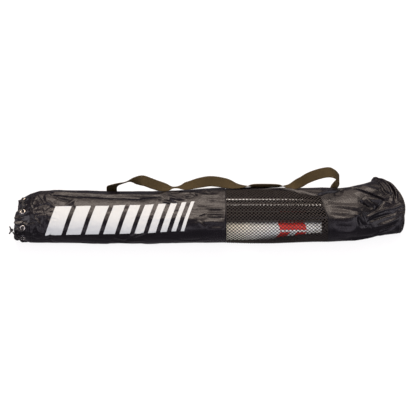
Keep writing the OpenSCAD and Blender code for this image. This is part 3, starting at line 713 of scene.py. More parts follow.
def stitches(tree, curve, given):
    """A stitch at even steps along a curve, turned to follow it."""
    even = add(
        tree, "GeometryNodeResampleCurve", {"Curve": curve, "Length": given["Pitch"]},
        mode="LENGTH",
    )
    direction = add(tree, "GeometryNodeInputTangent").outputs[0]
    turned = add(tree, "FunctionNodeAlignEulerToVector", {"Vector": direction}, axis="Z")
    thread = add(
        tree, "GeometryNodeMeshCylinder",
        {"Radius": given["Thread radius"], "Depth": given["Stitch length"], "Vertices": 6},
    )
    return add(
        tree, "GeometryNodeInstanceOnPoints",
        {
            "Points": even.outputs[0], "Instance": thread.outputs["Mesh"],
            "Rotation": turned.outputs[0],
        },
    ).outputs[0]


# ---------------------------------------------------------------- materials


def new_material(name):
    """An empty material and its node tree."""
    material = bpy.data.materials.new(name)
    material.use_nodes = True
    material.node_tree.nodes.clear()
    return material, material.node_tree


def finish_surface(tree, inputs, *reliefs):
    """Ends a material in one shader; a relief is a height socket, metres of depth, strength."""
    inputs = dict(inputs)
    for socket, depth, strength in reliefs:
        relief = {"Height": socket, "Distance": depth, "Strength": strength}
        if "Normal" in inputs:
            relief["Normal"] = inputs["Normal"]
        inputs["Normal"] = add(tree, "ShaderNodeBump", relief).outputs[0]
    shader = add(tree, "ShaderNodeBsdfPrincipled", inputs)
    add(tree, "ShaderNodeOutputMaterial", {"Surface": shader.outputs[0]})


def shaded(tone, *factors):
    """A colour times one factor, or times one for each channel."""
    factors = factors * 3 if len(factors) == 1 else factors
    return tuple(c * factor for c, factor in zip(tone, factors)) + (1.0,)


def between(tree, value, low, high):
    """1 where a socket lies between two numbers."""
    above = reckon(tree, value, ("GREATER_THAN", low))
    return reckon(tree, value, ("LESS_THAN", high), ("MULTIPLY", above))


def crossed(tree, uv, operation, *runs):
    """Two runs of threads laid over each other: direction, turn in radians and wave inputs."""
    waves = []
    for direction, turn, inputs in runs:
        vector = uv
        if turn:
            vector = add(tree, "ShaderNodeMapping", {"Vector": uv, "Rotation": (0, 0, turn)})
            vector = vector.outputs[0]
        wave = add(
            tree, "ShaderNodeTexWave", {"Vector": vector, **inputs},
            wave_type="BANDS", bands_direction=direction,
        )
        waves.append(wave.outputs["Fac"])
    return reckon(tree, waves[0], (operation, waves[1]))


def weave(tree, uv, pitch):
    """Plain weave of two crossed thread directions; a wave of scale 0.314 is a metre long."""
    threads = {"Scale": 0.314 / pitch}
    return crossed(tree, uv, "MAXIMUM", ("X", 0, threads), ("Y", 0, threads))


# The print: slanted bars that get thinner towards the window
PRINT_START, PRINT_LENGTH = -385.0, 355.0
PRINT_TOP, PRINT_BOTTOM = 1.0, 84.0
PRINT_CLIMB = -0.0435
PRINT_SLANT = -0.30
PRINT_BARS = 10
PRINT_GAP = 11.0
PRINT_WIDEST, PRINT_THINNEST = 44.0, 9.0
# Room for the slant before the row, before the first bar, and at both ends together
PRINT_LEAD, PRINT_FIRST, PRINT_SPARE = 20.0, 2.0, 24.0


def print_mask(tree, uv):
    """1 on the printed bars and 0 beside them, from the fabric's own coordinates."""
    u, v = add(tree, "ShaderNodeSeparateXYZ", {0: uv}).outputs[:2]
    # height within the row of bars, which climbs along the bag
    climb = reckon(
        tree, u, ("SUBTRACT", CLOTH_U + PRINT_START * MM), ("MULTIPLY", PRINT_CLIMB)
    )
    level = reckon(tree, v, ("SUBTRACT", climb))
    row = between(tree, level, CLOTH_V + PRINT_TOP * MM, CLOTH_V + PRINT_BOTTOM * MM)
    lean = reckon(tree, level, ("SUBTRACT", CLOTH_V), ("MULTIPLY", PRINT_SLANT))
    share = reckon(
        tree, u, ("SUBTRACT", lean), ("SUBTRACT", CLOTH_U + (PRINT_START + PRINT_LEAD) * MM),
        ("DIVIDE", PRINT_LENGTH * MM),
    )
    widths = np.linspace(PRINT_WIDEST, PRINT_THINNEST, PRINT_BARS)
    widths *= (PRINT_LENGTH - PRINT_SPARE - PRINT_GAP * (PRINT_BARS - 1)) / widths.sum()
    black, white = (0.0, 0.0, 0.0, 1.0), (1.0, 1.0, 1.0, 1.0)
    stops = [(0.0, black)]
    at = PRINT_FIRST
    for width in widths:
        stops += [(at / PRINT_LENGTH, white), ((at + width) / PRINT_LENGTH, black)]
        at += width + PRINT_GAP
    bars = add(tree, "ShaderNodeValToRGB", {"Fac": share}, stops)
    bars.color_ramp.interpolation = "CONSTANT"
    inside = between(tree, share, 0.001, 0.999)
    return reckon(tree, bars.outputs["Color"], ("MULTIPLY", inside), ("MULTIPLY", row))


# The coating is thin and worn, so it reflects less than a clean film of polyurethane, at 1.5
NYLON_IOR = 1.34


def woven_nylon(settings, name, printed=False, gloss_range=(0.22, 0.33), ior=NYLON_IOR):
    # Coated 210D woven nylon: a half-gloss film over fine threads, crinkled by packing
    material, tree = new_material(name)
    place = add(tree, "ShaderNodeTexCoord").outputs
    here = {"Vector": place["Object"]}
    crinkle = add(
        tree, "ShaderNodeTexNoise",
        {**here, "Scale": 75.0, "Detail": 2.0, "Roughness": 0.45, "Distortion": 0.6},
    ).outputs["Fac"]
    grain = add(tree, "ShaderNodeTexNoise", {**here, "Scale": 420.0, "Detail": 4.0}).outputs["Fac"]
    shade = add(tree, "ShaderNodeTexNoise", {**here, "Scale": 14.0, "Detail": 5.0}).outputs["Fac"]
    # thread spacing is 0.4 mm; drawn at 1.2 mm so that it shows
    threads = weave(tree, place["UV"], 1.2 * MM)
    base = settings.nylon_colour
    stops = [(0.3, shaded(base, 0.75)), (0.7, shaded(base, 1.35))]
    tone = add(tree, "ShaderNodeValToRGB", {"Fac": shade}, stops).outputs["Color"]
    gloss = add(
        tree, "ShaderNodeMapRange",
        {"Value": grain, "To Min": gloss_range[0], "To Max": gloss_range[1]},
    ).outputs[0]
    if printed:
        # the screen-printed ink is matt and slightly worn
        mask = print_mask(tree, place["UV"])
        worn = add(tree, "ShaderNodeTexNoise", {**here, "Scale": 900.0, "Detail": 2.0})
        base = settings.print_colour
        stops = [(0.3, shaded(base, 0.86)), (0.6, base)]
        ink = add(tree, "ShaderNodeValToRGB", {"Fac": worn.outputs["Fac"]}, stops)
        tone = add(
            tree, "ShaderNodeMix", {"Factor": mask, "A": tone, "B": ink.outputs["Color"]},
            data_type="RGBA",
        ).outputs["Result"]
        gloss = add(tree, "ShaderNodeMix", {"Factor": mask, "A": gloss, "B": 0.62})
        gloss = gloss.outputs["Result"]
    finish_surface(
        tree, {"Base Color": tone, "Roughness": gloss, "IOR": ior},
        (crinkle, 0.0025, 0.4), (grain, 0.0003, 0.3), (threads, 0.00008, 0.35),
    )
    return material


def knitted_netting(settings):
    # Warp-knitted polyester netting: dull black filaments. Its holes repeat every 6.9 x 6.2
    # mm; they are drawn every 9.0 x 8.6 mm, with 1.6 mm strands, so that they show
    material, tree = new_material("knitted polyester netting")
    here = add(tree, "ShaderNodeTexCoord").outputs["Object"]
    twist = add(tree, "ShaderNodeTexNoise", {"Vector": here, "Scale": 1400.0, "Detail": 2.0})
    finish_surface(
        tree, {"Base Color": settings.lining_colour, "Roughness": 0.6, "IOR": 1.4},
        (twist.outputs["Fac"], 0.0003, 0.5),
    )
    return material


def braided_cord(settings, name="braided polyester cord"):
    # Braided polyester cord: dull, with diagonal strands about 1.5 mm apart
    material, tree = new_material(name)
    uv = add(tree, "ShaderNodeTexCoord").outputs["UV"]
    strand = {"Scale": 210.0}
    braid = crossed(tree, uv, "MAXIMUM", ("X", 0.7, strand), ("X", -0.7, strand))
    finish_surface(
        tree, {"Base Color": settings.cord_colour, "Roughness": 0.7}, (braid, 0.0005, 0.6)
    )
    return material


def woven_webbing(settings):
    # Polypropylene webbing: dull ribs across the strap, 1.6 mm apart, and rows along it
    material, tree = new_material("polypropylene webbing")
    uv = add(tree, "ShaderNodeTexCoord").outputs["UV"]
    ribs, rows = {"Scale": 196.0, "Distortion": 0.4}, {"Scale": 130.0}
    herringbone = crossed(tree, uv, "MULTIPLY", ("X", 0, ribs), ("Y", 0, rows))
    fuzz = add(tree, "ShaderNodeTexNoise", {"Vector": uv, "Scale": 900.0, "Detail": 3.0})
    base = settings.webbing_colour
    # painted highlight and shade: the tops of the ribs are lighter and the hollows between them
    # darker
    stops = [(0.1, shaded(base, 0.55)), (0.8, shaded(base, 1.5))]
    tone = add(tree, "ShaderNodeValToRGB", {"Fac": herringbone}, stops).outputs["Color"]
    finish_surface(
        tree, {"Base Color": tone, "Roughness": 0.7, "IOR": 1.25},
        (herringbone, 0.0007, 0.7), (fuzz.outputs["Fac"], 0.0002, 0.4),
    )
    return material


def enamelled_tube(settings):
    # Baked enamel on steel tube: smooth, glossy, with faint scuffs along it
    material, tree = new_material("baked enamel on steel tube")
    here = add(tree, "ShaderNodeTexCoord").outputs["Object"]
    drawn = add(tree, "ShaderNodeMapping", {"Vector": here, "Scale": (8, 400, 400)}).outputs[0]
    scuffs = add(tree, "ShaderNodeTexNoise", {"Vector": drawn, "Detail": 3.0}).outputs["Fac"]
    gloss = add(
        tree, "ShaderNodeMapRange",
        {"Value": scuffs, "From Min": 0.35, "From Max": 0.75, "To Min": 0.04, "To Max": 0.12},
    ).outputs[0]
    finish_surface(
        tree, {"Base Color": settings.paint_colour, "Roughness": gloss, "IOR": 1.6},
        (scuffs, 0.0001, 0.2),
    )
    return material


def moulded_plastic(settings):
    # Injection-moulded polypropylene: half matt, with a fine spark-eroded grain
    material, tree = new_material("moulded polypropylene")
    here = add(tree, "ShaderNodeTexCoord").outputs["Object"]
    grain = add(tree, "ShaderNodeTexNoise", {"Vector": here, "Scale": 900.0, "Detail": 2.0})
    finish_surface(
        tree, {"Base Color": settings.plastic_colour, "Roughness": 0.5},
        (grain.outputs["Fac"], 0.0002, 0.4),
    )
    return material


def plated_steel(settings):
    # Nickel-plated steel: bright, slightly yellow, with handling marks
    material, tree = new_material("nickel-plated steel")
    here = add(tree, "ShaderNodeTexCoord").outputs["Object"]
    marks = add(tree, "ShaderNodeTexNoise", {"Vector": here, "Scale": 500.0, "Detail": 4.0})
    gloss = add(
        tree, "ShaderNodeMapRange",
        {"Value": marks.outputs["Fac"], "To Min": 0.14, "To Max": 0.34},
    ).outputs[0]
    finish_surface(
        tree, {"Base Color": settings.steel_colour, "Roughness": gloss, "Metallic": 1.0}
    )
    return material


# Red marks on the tape: start and end along the bag, low and high round the roll, lean
MARKS = [
    (162.0, 226.0, 20.0, 44.0, 0.25),
    (219.0, 243.0, 49.0, 67.0, -0.9),
    (257.0, 281.0, 49.0, 67.0, -0.9),
]


def vinyl_tape(settings):
    # Vinyl-coated polyester head tape: smooth, with a soft sheen and red marks; its end towards the
    # mouth is painted darker and creamier, as painted shade
    material, tree = new_material("vinyl-coated head tape")
    place = add(tree, "ShaderNodeTexCoord").outputs
    u, v = add(tree, "ShaderNodeSeparateXYZ", {0: place["UV"]}).outputs[:2]
    marks = None
    for start, end, low, high, lean in MARKS:
        leaning = reckon(tree, v, ("MULTIPLY", lean))
        along = between(tree, reckon(tree, u, ("SUBTRACT", leaning)), start * MM, end * MM)
        mark = reckon(tree, along, ("MULTIPLY", between(tree, v, low * MM, high * MM)))
        marks = mark if marks is None else reckon(tree, marks, ("MAXIMUM", mark))
    stain = add(
        tree, "ShaderNodeTexNoise", {"Vector": place["Object"], "Scale": 9.0, "Detail": 3.0}
    ).outputs["Fac"]
    # painted shade: the tape turns darker and creamier towards its end at the mouth
    painted_shade_fade = add(tree, "ShaderNodeMapRange", {"Value": u, "From Min": 0.06, "From Max": 0.17})
    painted_shade_cream = shaded(settings.tape_colour, 0.92, 0.86, 0.70)
    cool = shaded(settings.tape_colour, 0.97, 0.99, 1.0)
    tone = add(
        tree, "ShaderNodeMix", {"Factor": painted_shade_fade.outputs[0], "A": painted_shade_cream, "B": cool},
        data_type="RGBA",
    ).outputs["Result"]
    tone = add(
        tree, "ShaderNodeMix", {"Factor": marks, "A": tone, "B": settings.mark_colour},
        data_type="RGBA",
    ).outputs["Result"]
    # thread spacing is 0.5 mm; drawn at 1 mm so that it shows
    threads = weave(tree, place["UV"], 1.0 * MM)
    finish_surface(
        tree, {"Base Color": tone, "Roughness": 0.45}, (stain, 0.003, 0.3), (threads, 0.0001, 0.4)
    )
    return material


def rolled_netting(settings):
    # Knotted polyethylene net: dull cords in 45 mm squares that lie in many layers once rolled
    material, tree = new_material("knotted polyethylene net")
    uv = add(tree, "ShaderNodeTexCoord").outputs["UV"]
    cords = {"Scale": 60.0, "Distortion": 3.0, "Detail": 2.0}
    layers = crossed(tree, uv, "MAXIMUM", ("X", 0.9, cords), ("X", -0.75, cords))
    base = settings.netting_colour
    # painted shade: the hollows between the cords, where the layers beneath show, are darkened to a
    # third
    stops = [(0.35, shaded(base, 0.3)), (0.8, base)]
    tone = add(tree, "ShaderNodeValToRGB", {"Fac": layers}, stops).outputs["Color"]
    finish_surface(tree, {"Base Color": tone, "Roughness": 0.6}, (layers, 0.002, 0.8))
    return material


# ---------------------------------------------------------------- operators


def dress(piece, material, body, slot, *nodes):
    """Gives a finished piece its material and body, and hides the frame nodes it replaces; slot is
    not used.
    """
    piece.data.materials.clear()
    piece.data.materials.append(material)
    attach(piece, body)
    if nodes:
        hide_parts(*nodes)
    return piece


class NETSET_OT_fabric(bpy.types.Operator):
    """Sews the sleeves and the back panel of the bag"""

    bl_idname = "netset.fabric"
    bl_label = "Nylon Fabric"

    def execute(self, context):
        bag = context.scene.net_set_bag
        cell = bag.cell / MM
        nylon = woven_nylon(bag, "coated woven nylon")
        printed = woven_nylon(bag, "coated woven nylon, printed", True)

        rows = int((WINDOW_START - HEM_X) / cell)
        x = np.linspace(HEM_X + SEAM_GAP, WINDOW_START - SEAM_GAP, rows)
        x, angle = grid(x, all_round(GIRTH / cell))
        piece = cloth_piece("left_sleeve_cloth", x, angle, True, bag.crumple, (TUCK, -TUCK))
        dress(piece, printed, "bag", "nylon", "left_sleeve")

        # sharper folds need smaller cells, and the hidden back larger ones
        shares = np.linspace(0, 1, int(RIGHT_LENGTH / (0.85 * cell)))
        share, angle = grid(shares, all_round(GIRTH / (0.9 * cell)))
        seam = window_seam(angle) + SEAM_GAP
        x = seam + (END_X - seam) * share
        piece = cloth_piece("right_sleeve_cloth", x, angle, True, bag.crumple, (TUCK, 0))
        dress(piece, nylon, "bag", "nylon", "right_sleeve")

        shares = np.linspace(0, 1, int(WINDOW_LENGTH / (1.3 * cell)))
        share, angle = grid(shares, even_angles(*BACK_ANGLES, int(BACK_WIDTH / (1.3 * cell))))
        start = WINDOW_START + SEAM_GAP
        x = start + (window_seam(angle) - SEAM_GAP - start) * share
        piece = cloth_piece("back_panel_cloth", x, angle, False, bag.crumple)
        dress(piece, nylon, "bag", "nylon", "back_panel")
        return {"FINISHED"}


GIRTH = 403
RIGHT_LENGTH = 200
WINDOW_LENGTH = 246
BACK_WIDTH = 203
# Sides of the back panel and of the window, as angles round the bag
BACK_ANGLES = (228.3, 360 + 47.7)
WINDOW_ANGLES = (48.3, 227.7)
# How far a sleeve's edge turns in, and the gap that it leaves at a seam
TUCK = 7
SEAM_GAP = 0.25


def all_round(count):
    """Angles of even steps all round the bag."""
    return even_angles(-90, 270, int(count) + 1)[:-1]


class NETSET_OT_closed_end(bpy.types.Operator):
    """Makes the round end panel and its piping"""

    bl_idname = "netset.closed_end"
    bl_label = "Closed End"

    def execute(self, context):
        bag = context.scene.net_set_bag
        angles = all_round(END_STEPS)
        x = np.full(angles.shape, END_X)
        normal = outward(x, angles)
        path = crumpled(x, angles, 0.0, bag.crumple) - normal * PIPING_RADIUS
        path[:, 0] += PIPING_RADIUS + GAP
        path[:, 2] = np.maximum(path[:, 2], PIPING_RADIUS + GROUND_GAP)
        closed = np.concatenate([path, path[:1]])
        rings = tube_points(closed, PIPING_RADIUS, (1.0, 0.0, 0.0))[:-1]
        faces = grid_quads(END_STEPS + 1, CORD_SIDES, True) % (END_STEPS * CORD_SIDES)
        uv = np.stack(grid(np.arange(END_STEPS) * PIPING_STEP, np.arange(CORD_SIDES)), -1) * MM
        piece = mesh_object("end_piping_bound", rings, faces, uv)
        dress(piece, woven_nylon(bag, "coated nylon binding"), "bag", "piping", "end_piping")

        inner = path - normal * (PIPING_RADIUS + GAP)
        inner[:, 2] = np.maximum(inner[:, 2], END_LIFT)
        middle = inner.mean(0)
        shares = np.linspace(1, END_HOLE, 48)
        points = middle + (inner - middle)[None] * shares[:, None, None]
        y, z = points[..., 1], points[..., 2]
        folds = 1.6 * pleats(y, z, 26, 301) + 1.2 * pleats(y, z, 12, 305)
        folds += scattered(y, z, ((-50, 84), (5, 60), 40, (12, 40), 20, 60, 4, 1.6), 310)
        bulge = END_BULGE * (1 - shares ** 2)
        fade = smooth(0, 0.12, 1 - shares)[:, None]
        points[..., 0] += bulge[:, None] + np.clip(folds, *END_DEPTHS) * fade
        faces = grid_quads(len(shares), END_STEPS, True).tolist()
        faces.append([(len(shares) - 1) * END_STEPS + j for j in range(END_STEPS)])
        uv = np.stack([y * MM + CLOTH_U, z * MM + END_V], -1)
        piece = mesh_object("end_disc_cloth", points, faces, uv)
        dress(piece, woven_nylon(bag, "coated woven nylon, end"), "bag", "nylon", "end_disc")
        return {"FINISHED"}


END_STEPS = 240
# The end panel: bulge, lowest and highest fold, height of its lower edge, share of its
# size that one last face closes, and its own coordinate at the ground
END_BULGE = 3.0
END_DEPTHS = (-2.5, 1.8)
END_LIFT = 3.0
END_HOLE = 0.02
END_V = 0.1
PIPING_RADIUS = 2.0
PIPING_STEP = 1.7


class NETSET_OT_mouth(bpy.types.Operator):
    """Gathers the hem round the mouth and laces it"""

    bl_idname = "netset.mouth"
    bl_label = "Laced Mouth"

    def execute(self, context):
        bag = context.scene.net_set_bag
        share, angle = grid(np.linspace(0, 1, 34), all_round(360))
        x = HEM_X + (MOUTH_X - HEM_X) * share
        outer, inner = hem_skins(x, angle, bag.crumple)
        rows = np.concatenate([outer, inner[::-1]])
        faces = grid_quads(*rows.shape[:2], True)[:, ::-1]
        uv = cloth_uv(x, angle)
        piece = mesh_object("mouth_hem_cloth", rows, faces, np.concatenate([uv, uv[::-1]]))
        hem = woven_nylon(bag, "coated woven nylon, hem", False, (0.16, 0.26), 1.42)
        dress(piece, hem, "bag", "nylon", "mouth_hem")

        grommets = mesh_object("grommets", *merged(grommet_form(at) for at in EYELET_ANGLES))
        steel = plated_steel(context.scene.net_set_net)
        dress(grommets, steel, "bag", "eyelet_steel", "eyelets", "eyelet_washers")

        cord = braided_cord(bag)
        lace = mesh_object("drawstring_braid", *cord_form(spline(lace_route(), 5), LACE_RADIUS))
        dress(lace, cord, "bag", "cord", "drawstring")
        dress(knot(), cord, "bag", "cord", "drawstring_knot")
        return {"FINISHED"}


GATHERS = 8
GATHER_DEPTH = 3.0
HEM_FABRIC = 2.4
EYELET_X = MOUTH_X + 19
EYELET_ANGLES = [45 * k for k in range(GATHERS)]
EYELET_RADIUS = 6.6
# The hem is flat up to the first distance from an eyelet, and ruffled from the second
EYELET_FLAT = (7.0, 12.0)
RUFFLE_DEPTHS = (-2.4, 6.0)
# Height of the hem's inner skin over the ground, and the rim's furthest point
INNER_LIFT = 0.6
RIM_LIMIT = -466
# Height of the eyelet's flange over the hem, and its thickness
EYELET_SEAT, EYELET_FLANGE = -0.1, 0.8
LACE_RADIUS = 1.7
# How far the cord runs aside while it passes through an eyelet
LACE_BEND = 2.2
# Radius and height over the hem's outside, round the grommet's section
GROMMET_PROFILE = [
    (3.95, -1.2), (3.95, 0.2), (4.3, 0.75), (4.9, 1.0), (5.6, 0.9), (6.25, 0.45), (6.6, -0.1),
    (4.75, -0.12), (4.7, -2.65), (6.6, -2.72), (6.3, -3.3), (5.0, -3.5), (4.2, -3.3),
    (3.95, -2.9), (3.95, -1.2),
]


def hem_point(x, angle):
    """Outside of the gathered hem, without its ruffles."""
    gathered = (HEM_X - x) / (HEM_X - MOUTH_X)
    pleat = gathered * GATHER_DEPTH * (1 - np.cos(np.radians(GATHERS * angle))) / 2
    return wall(x, angle, pleat)


def hem_skins(x, angle, strength):
    """Outer and inner skin of the gathered hem; it lies flat at each eyelet."""
    gathered = np.clip((HEM_X - x) / (HEM_X - MOUTH_X), 0, 1)
    outer = hem_point(x, angle)
    normal = outward(x, angle, hem_point)
    at_fold = height(np.full(x.shape, HEM_X + SEAM_GAP), angle, strength)
    v = arc_at(angle)
    ruffle = 3.2 * pleats(x * 0.4, v, 17, 401) + 1.2 * pleats(x, v, 12, 411)
    ruffle += scattered(x, v, ((-462, -420), (-110, 190), 60, (14, 36), 0, 50, 4, 4.6), 420)
    flat = np.ones(x.shape)
    for at in EYELET_ANGLES:
        away = np.linalg.norm(outer - eyelet_frame(at)[0], axis=-1)
        flat = np.minimum(flat, smooth(*EYELET_FLAT, away))
    ruffle = smooth(0.02, 0.45, gathered) * np.clip(ruffle, *RUFFLE_DEPTHS)
    rise = (1 - gathered) * at_fold + ruffle
    fade = smooth(1.0, 10.0, outer[..., 2] - underside(x) * (1 - gathered))
    rise = rise * flat * fade
    rim = smooth(0.75, 1.0, gathered) * flat
    outer = outer + normal * rise[..., None]
    # the cord draws the back of the rim in further than the front
    drawn_in = 9.0 * (1 - smooth(-30, 20, v)) * smooth(-150, -120, v)
    outer[..., 0] += rim * (3.6 * pleats(v, np.zeros(v.shape), 12, 431) + drawn_in - 1.0)
    outer[..., 0] = np.maximum(outer[..., 0], RIM_LIMIT)
    inner = outer - normal * HEM_FABRIC
    outer[..., 2] = np.maximum(outer[..., 2], GROUND_GAP)
    inner[..., 2] = np.maximum(inner[..., 2], INNER_LIFT)
    # the two skins meet in a rounded edge at the rim and at the seam
    pinch = np.clip(1 - (1 - gathered) / 0.04, 0, 1)[..., None] * 0.45
    middle = (outer + inner) / 2
    return outer + (middle - outer) * pinch, inner + (middle - inner) * pinch


def eyelet_frame(angle):
    """Centre of an eyelet on the hem, and its directions along, round and out of the hem."""
    x, at = np.array(EYELET_X), np.array(float(angle))
    sideways = unit(hem_point(x, at + 1) - hem_point(x, at - 1))
    out = unit(np.cross(sideways, hem_point(x + 1, at) - hem_point(x - 1, at)))
    return hem_point(x, at), np.cross(sideways, out), sideways, out


def grommet_form(at):
    """One eyelet with its washer, turned round its axis."""
    centre, along, sideways, out = eyelet_frame(at)
    turns = np.linspace(0, 2 * math.pi, 32, endpoint=False)[:, None]
    circle = np.cos(turns) * along + np.sin(turns) * sideways
    rings = np.array([centre + out * rise + radius * circle for radius, rise in GROMMET_PROFILE])
    faces = grid_quads(*rings.shape[:2], True)[:, ::-1]
    return rings, faces, np.zeros((*rings.shape[:2], 2))


# From the source's origin to the frame's
SHIFT = np.array([MIDDLE_X, -28.0, 0.0])
KNOT = np.array([-468, -46, 64.0]) + SHIFT
# The cord starts this far from the knot's middle
KNOT_RADIUS = 5.5


def lace_route():
    """Route of the drawstring in and out of the eyelets, from the knot and back to it."""
    lace_out = EYELET_SEAT + EYELET_FLANGE + GAP + LACE_RADIUS
    lace_in = -HEM_FABRIC - GAP - EYELET_FLANGE - GAP - LACE_RADIUS
    middle = (lace_out + lace_in) / 2
    clear = EYELET_RADIUS + 1
    lead = np.array([-455, -45, 67.0]) + SHIFT
    tail = np.array([-453, -58, 44.0]) + SHIFT
    points = [KNOT + (KNOT_RADIUS + GAP + r) * unit(lead - KNOT) for r in (0, 3)] + [lead]
    for k, angle in enumerate([135, 90, 45, 0, 315, 270, 225, 180]):
        centre, _, sideways, out = eyelet_frame(angle)
        onward = -sideways
        inwards = k % 2 == 0
        before, after = (lace_out, lace_in) if inwards else (lace_in, lace_out)
        if inwards:
            points.append(centre + out * before - onward * clear)
        points += [
            centre + out * before - onward * LACE_BEND,
            centre + out * middle,
            centre + out * after + onward * LACE_BEND,
        ]
        if not inwards:
            points.append(centre + out * after + onward * clear)
    points.append(tail)
    points += [KNOT + (KNOT_RADIUS + GAP + r) * unit(tail - KNOT) for r in (3, 0)]
    return points


def knot():
    """An overhand knot: a trefoil of cord with its two cut tails."""
    turns = np.linspace(0, 2 * math.pi, 73)
    path = np.stack(
        [
            KNOT[0] + np.sin(turns) + 2 * np.sin(2 * turns),
            KNOT[1] + np.cos(turns) - 2 * np.cos(2 * turns),
            KNOT[2] - 2 * np.sin(3 * turns),
        ],
        -1,
    )
    forms = [cord_form(path, LACE_RADIUS)]
    for tail in np.array([[-4, -3, -7], [-3, 3, 8]], float):
        way = spline([KNOT + 0.2 * tail, KNOT + 0.7 * tail, KNOT + 1.35 * tail], 6)
        forms.append(cord_form(way, np.linspace(LACE_RADIUS, 1.5, len(way))))
    return mesh_object("drawstring_overhand", *merged(forms))


class NETSET_OT_window(bpy.types.Operator):
    """Knits the mesh window"""

    bl_idname = "netset.window"
    bl_label = "Mesh Window"

    def execute(self, context):
        bag = context.scene.net_set_bag
        low, high = (float(arc_at(angle)) for angle in WINDOW_ANGLES)
        rows = int((high - low) / (bag.mesh_rise / MM)) * 2
        columns = int((WINDOW_END - WINDOW_START) / (bag.mesh_pitch / MM)) * 2
        paths = []
        for lean in (1, -1):
            for start in range(-rows, columns + rows + 1, 2):
                chain = [
                    ((start + lean * j) / columns, j / rows)
                    for j in range(rows + 1)
                    if 0 <= start + lean * j <= columns
                ]
                if len(chain) > 1:
                    strand = np.repeat(np.array(chain), 2, 0)[:-1]
                    strand[1::2] = (strand[:-1:2] + strand[2::2]) / 2
                    paths.append(net_points(*strand.T, low, high, STRAND_LIFT * lean))
        sizes = {
            "Strand radius": float(bag.strand_radius), "Sides": 5, "Knot": 1.75, "Thinning": -1.1,
        }
        netting = knitted_netting(bag)
        piece = grow("window_netting", paths, sizes, netting, strands)
        dress(piece, netting, "bag", "mesh", "mesh_window")

        levels, shares = np.linspace(0, 1, 120), np.linspace(0, 1, 100)
        edges = [net_points(np.full(120, side), levels, low, high, GAP) for side in (0.0, 1.0)]
        edges += [net_points(shares, np.full(100, level), low, high, GAP) for level in (0.0, 1.0)]
        sizes = {"Strand radius": BINDING_RADIUS * MM, "Sides": 8, "Knot": 1.0, "Thinning": 0.0}
        binding = woven_nylon(bag, "coated nylon window binding")
        piece = grow("window_binding", edges, sizes, binding, strands)
        dress(piece, binding, "bag", "mesh")

        # painted shade: a dark nylon facing behind the lower netting, where the bag's inside lies in
        # shade
        x, level = grid(np.linspace(SHADE_FACING_EDGE[0, 0], WINDOW_END, 60), np.linspace(0, 1, 14))
        top = arc_at(np.interp(x, SHADE_FACING_EDGE[:, 0], SHADE_FACING_EDGE[:, 1]))
        angle = angle_at(top + (high + 2 - top) * level)
        points = crumpled(x, angle, SHADE_FACING_DEPTH, WINDOW_FOLDS)
        faces = grid_quads(*x.shape)
        piece = mesh_object("window_shade_facing_cloth", points, faces, cloth_uv(x, angle))
        dress(piece, woven_nylon(bag, "coated nylon shade facing"), "bag", "nylon")

        x, level = grid(np.linspace(LAP_EDGE[0, 0], LAP_EDGE[-1, 0], 90), np.linspace(0, 1, 22))
        bottom = arc_at(np.interp(x, LAP_EDGE[:, 0], LAP_EDGE[:, 1]))
        angle = angle_at(low - 3 + (bottom - low + 3) * level)
        open_end = smooth(0, 0.4, (x - x.min()) / np.ptp(x))
        puff = 0.8 + 3.4 * np.sin(math.pi * level ** 0.7) * open_end
        puff += 0.9 * level * pleats(x * 0.5, arc_at(angle), 16, 601)
        points = crumpled(x, angle, 0.0, WINDOW_FOLDS) + outward(x, angle) * puff[..., None]
        faces = grid_quads(*x.shape)
        piece = mesh_object("window_lap_cloth", points, faces, cloth_uv(x, angle))
        dress(piece, woven_nylon(bag, "coated nylon lap"), "bag", "nylon")
        return {"FINISHED"}


# The fabric's folds are this much weaker in the window; the netting ends short of its seams
WINDOW_FOLDS = 0.5
NET_GAP = 0.6
# Strands of one direction pass over those of the other
STRAND_LIFT = 0.25
BINDING_RADIUS = 1.3
SHADE_FACING_DEPTH = 3.0
# Upper edge of the facing inside the window's lower seam: x and angle round the bag. The facing is a
# dark strip of nylon put where the bag's inside lies in shade, so it is painted shade
SHADE_FACING_EDGE = np.array(
    [
        [104, 218.0], [120, 189.0], [134, 184.5], [150, 180.0], [169, 175.0], [193, 170.5],
        [222, 166.5], [250, 163.0], [274, 161.0], [289, 160.0],
    ]
)
# Lower edge of the back panel's fold that lies over the window's upper corner
LAP_EDGE = np.array(
    [
        [116, 49.0], [145, 50.0], [174, 51.0], [202, 57.5], [222, 65.0], [246, 71.0],
        [262, 74.0], [272, 69.0],
    ]
)


def net_points(share, level, low, high, lift):
    """Points of the window from shares along and round it."""
    arcs = low + (high - low) * level
    angle = angle_at(arcs)
    start = WINDOW_START + NET_GAP
    x = start + (window_seam(angle) - NET_GAP - start) * share
    # the netting sags softly between the poles
    wobble = 0.6 * np.sin(x / 17.0) * np.sin(arcs / 13.0)
    points = crumpled(x, angle, 0.0, WINDOW_FOLDS)
    return points + outward(x, angle) * (wobble + lift - CLEARANCE)[:, None]


class NETSET_OT_strap(bpy.types.Operator):
    """Makes the shoulder strap and its sewn tabs"""

    bl_idname = "netset.strap"
    bl_label = "Shoulder Strap"

    def execute(self, context):
        bag = context.scene.net_set_bag
        material = woven_webbing(bag)
        forms = [webbing_form(np.array(STRAP_POINTS, float), 8)]
        forms += [strap_end_form(x) for x in STRAP_ENDS]
        piece = mesh_object("carry_strap_webbing_sewn", *merged(forms))
        dress(piece, material, "strap", "webbing", "carry_strap")
        for x, node in zip(STRAP_ENDS, ("strap_tab_left", "strap_tab_right")):
            piece = mesh_object(node + "_webbing", *webbing_form(tab_points(x), 6))
            dress(piece, material, "bag", "webbing", node)
        return {"FINISHED"}


WEBBING_WIDTH, WEBBING_THICKNESS = 25.0, 1.8
# The webbing's own coordinate across, at its middle
WEBBING_V = 13
STRAP_AXIS = (80.0, 36.0)
STRAP_ENDS = (-231.0, 305.0)
# Outer radius of the webbing rolled round that axis
KNUCKLE = WEBBING_THICKNESS / 2 + 0.4
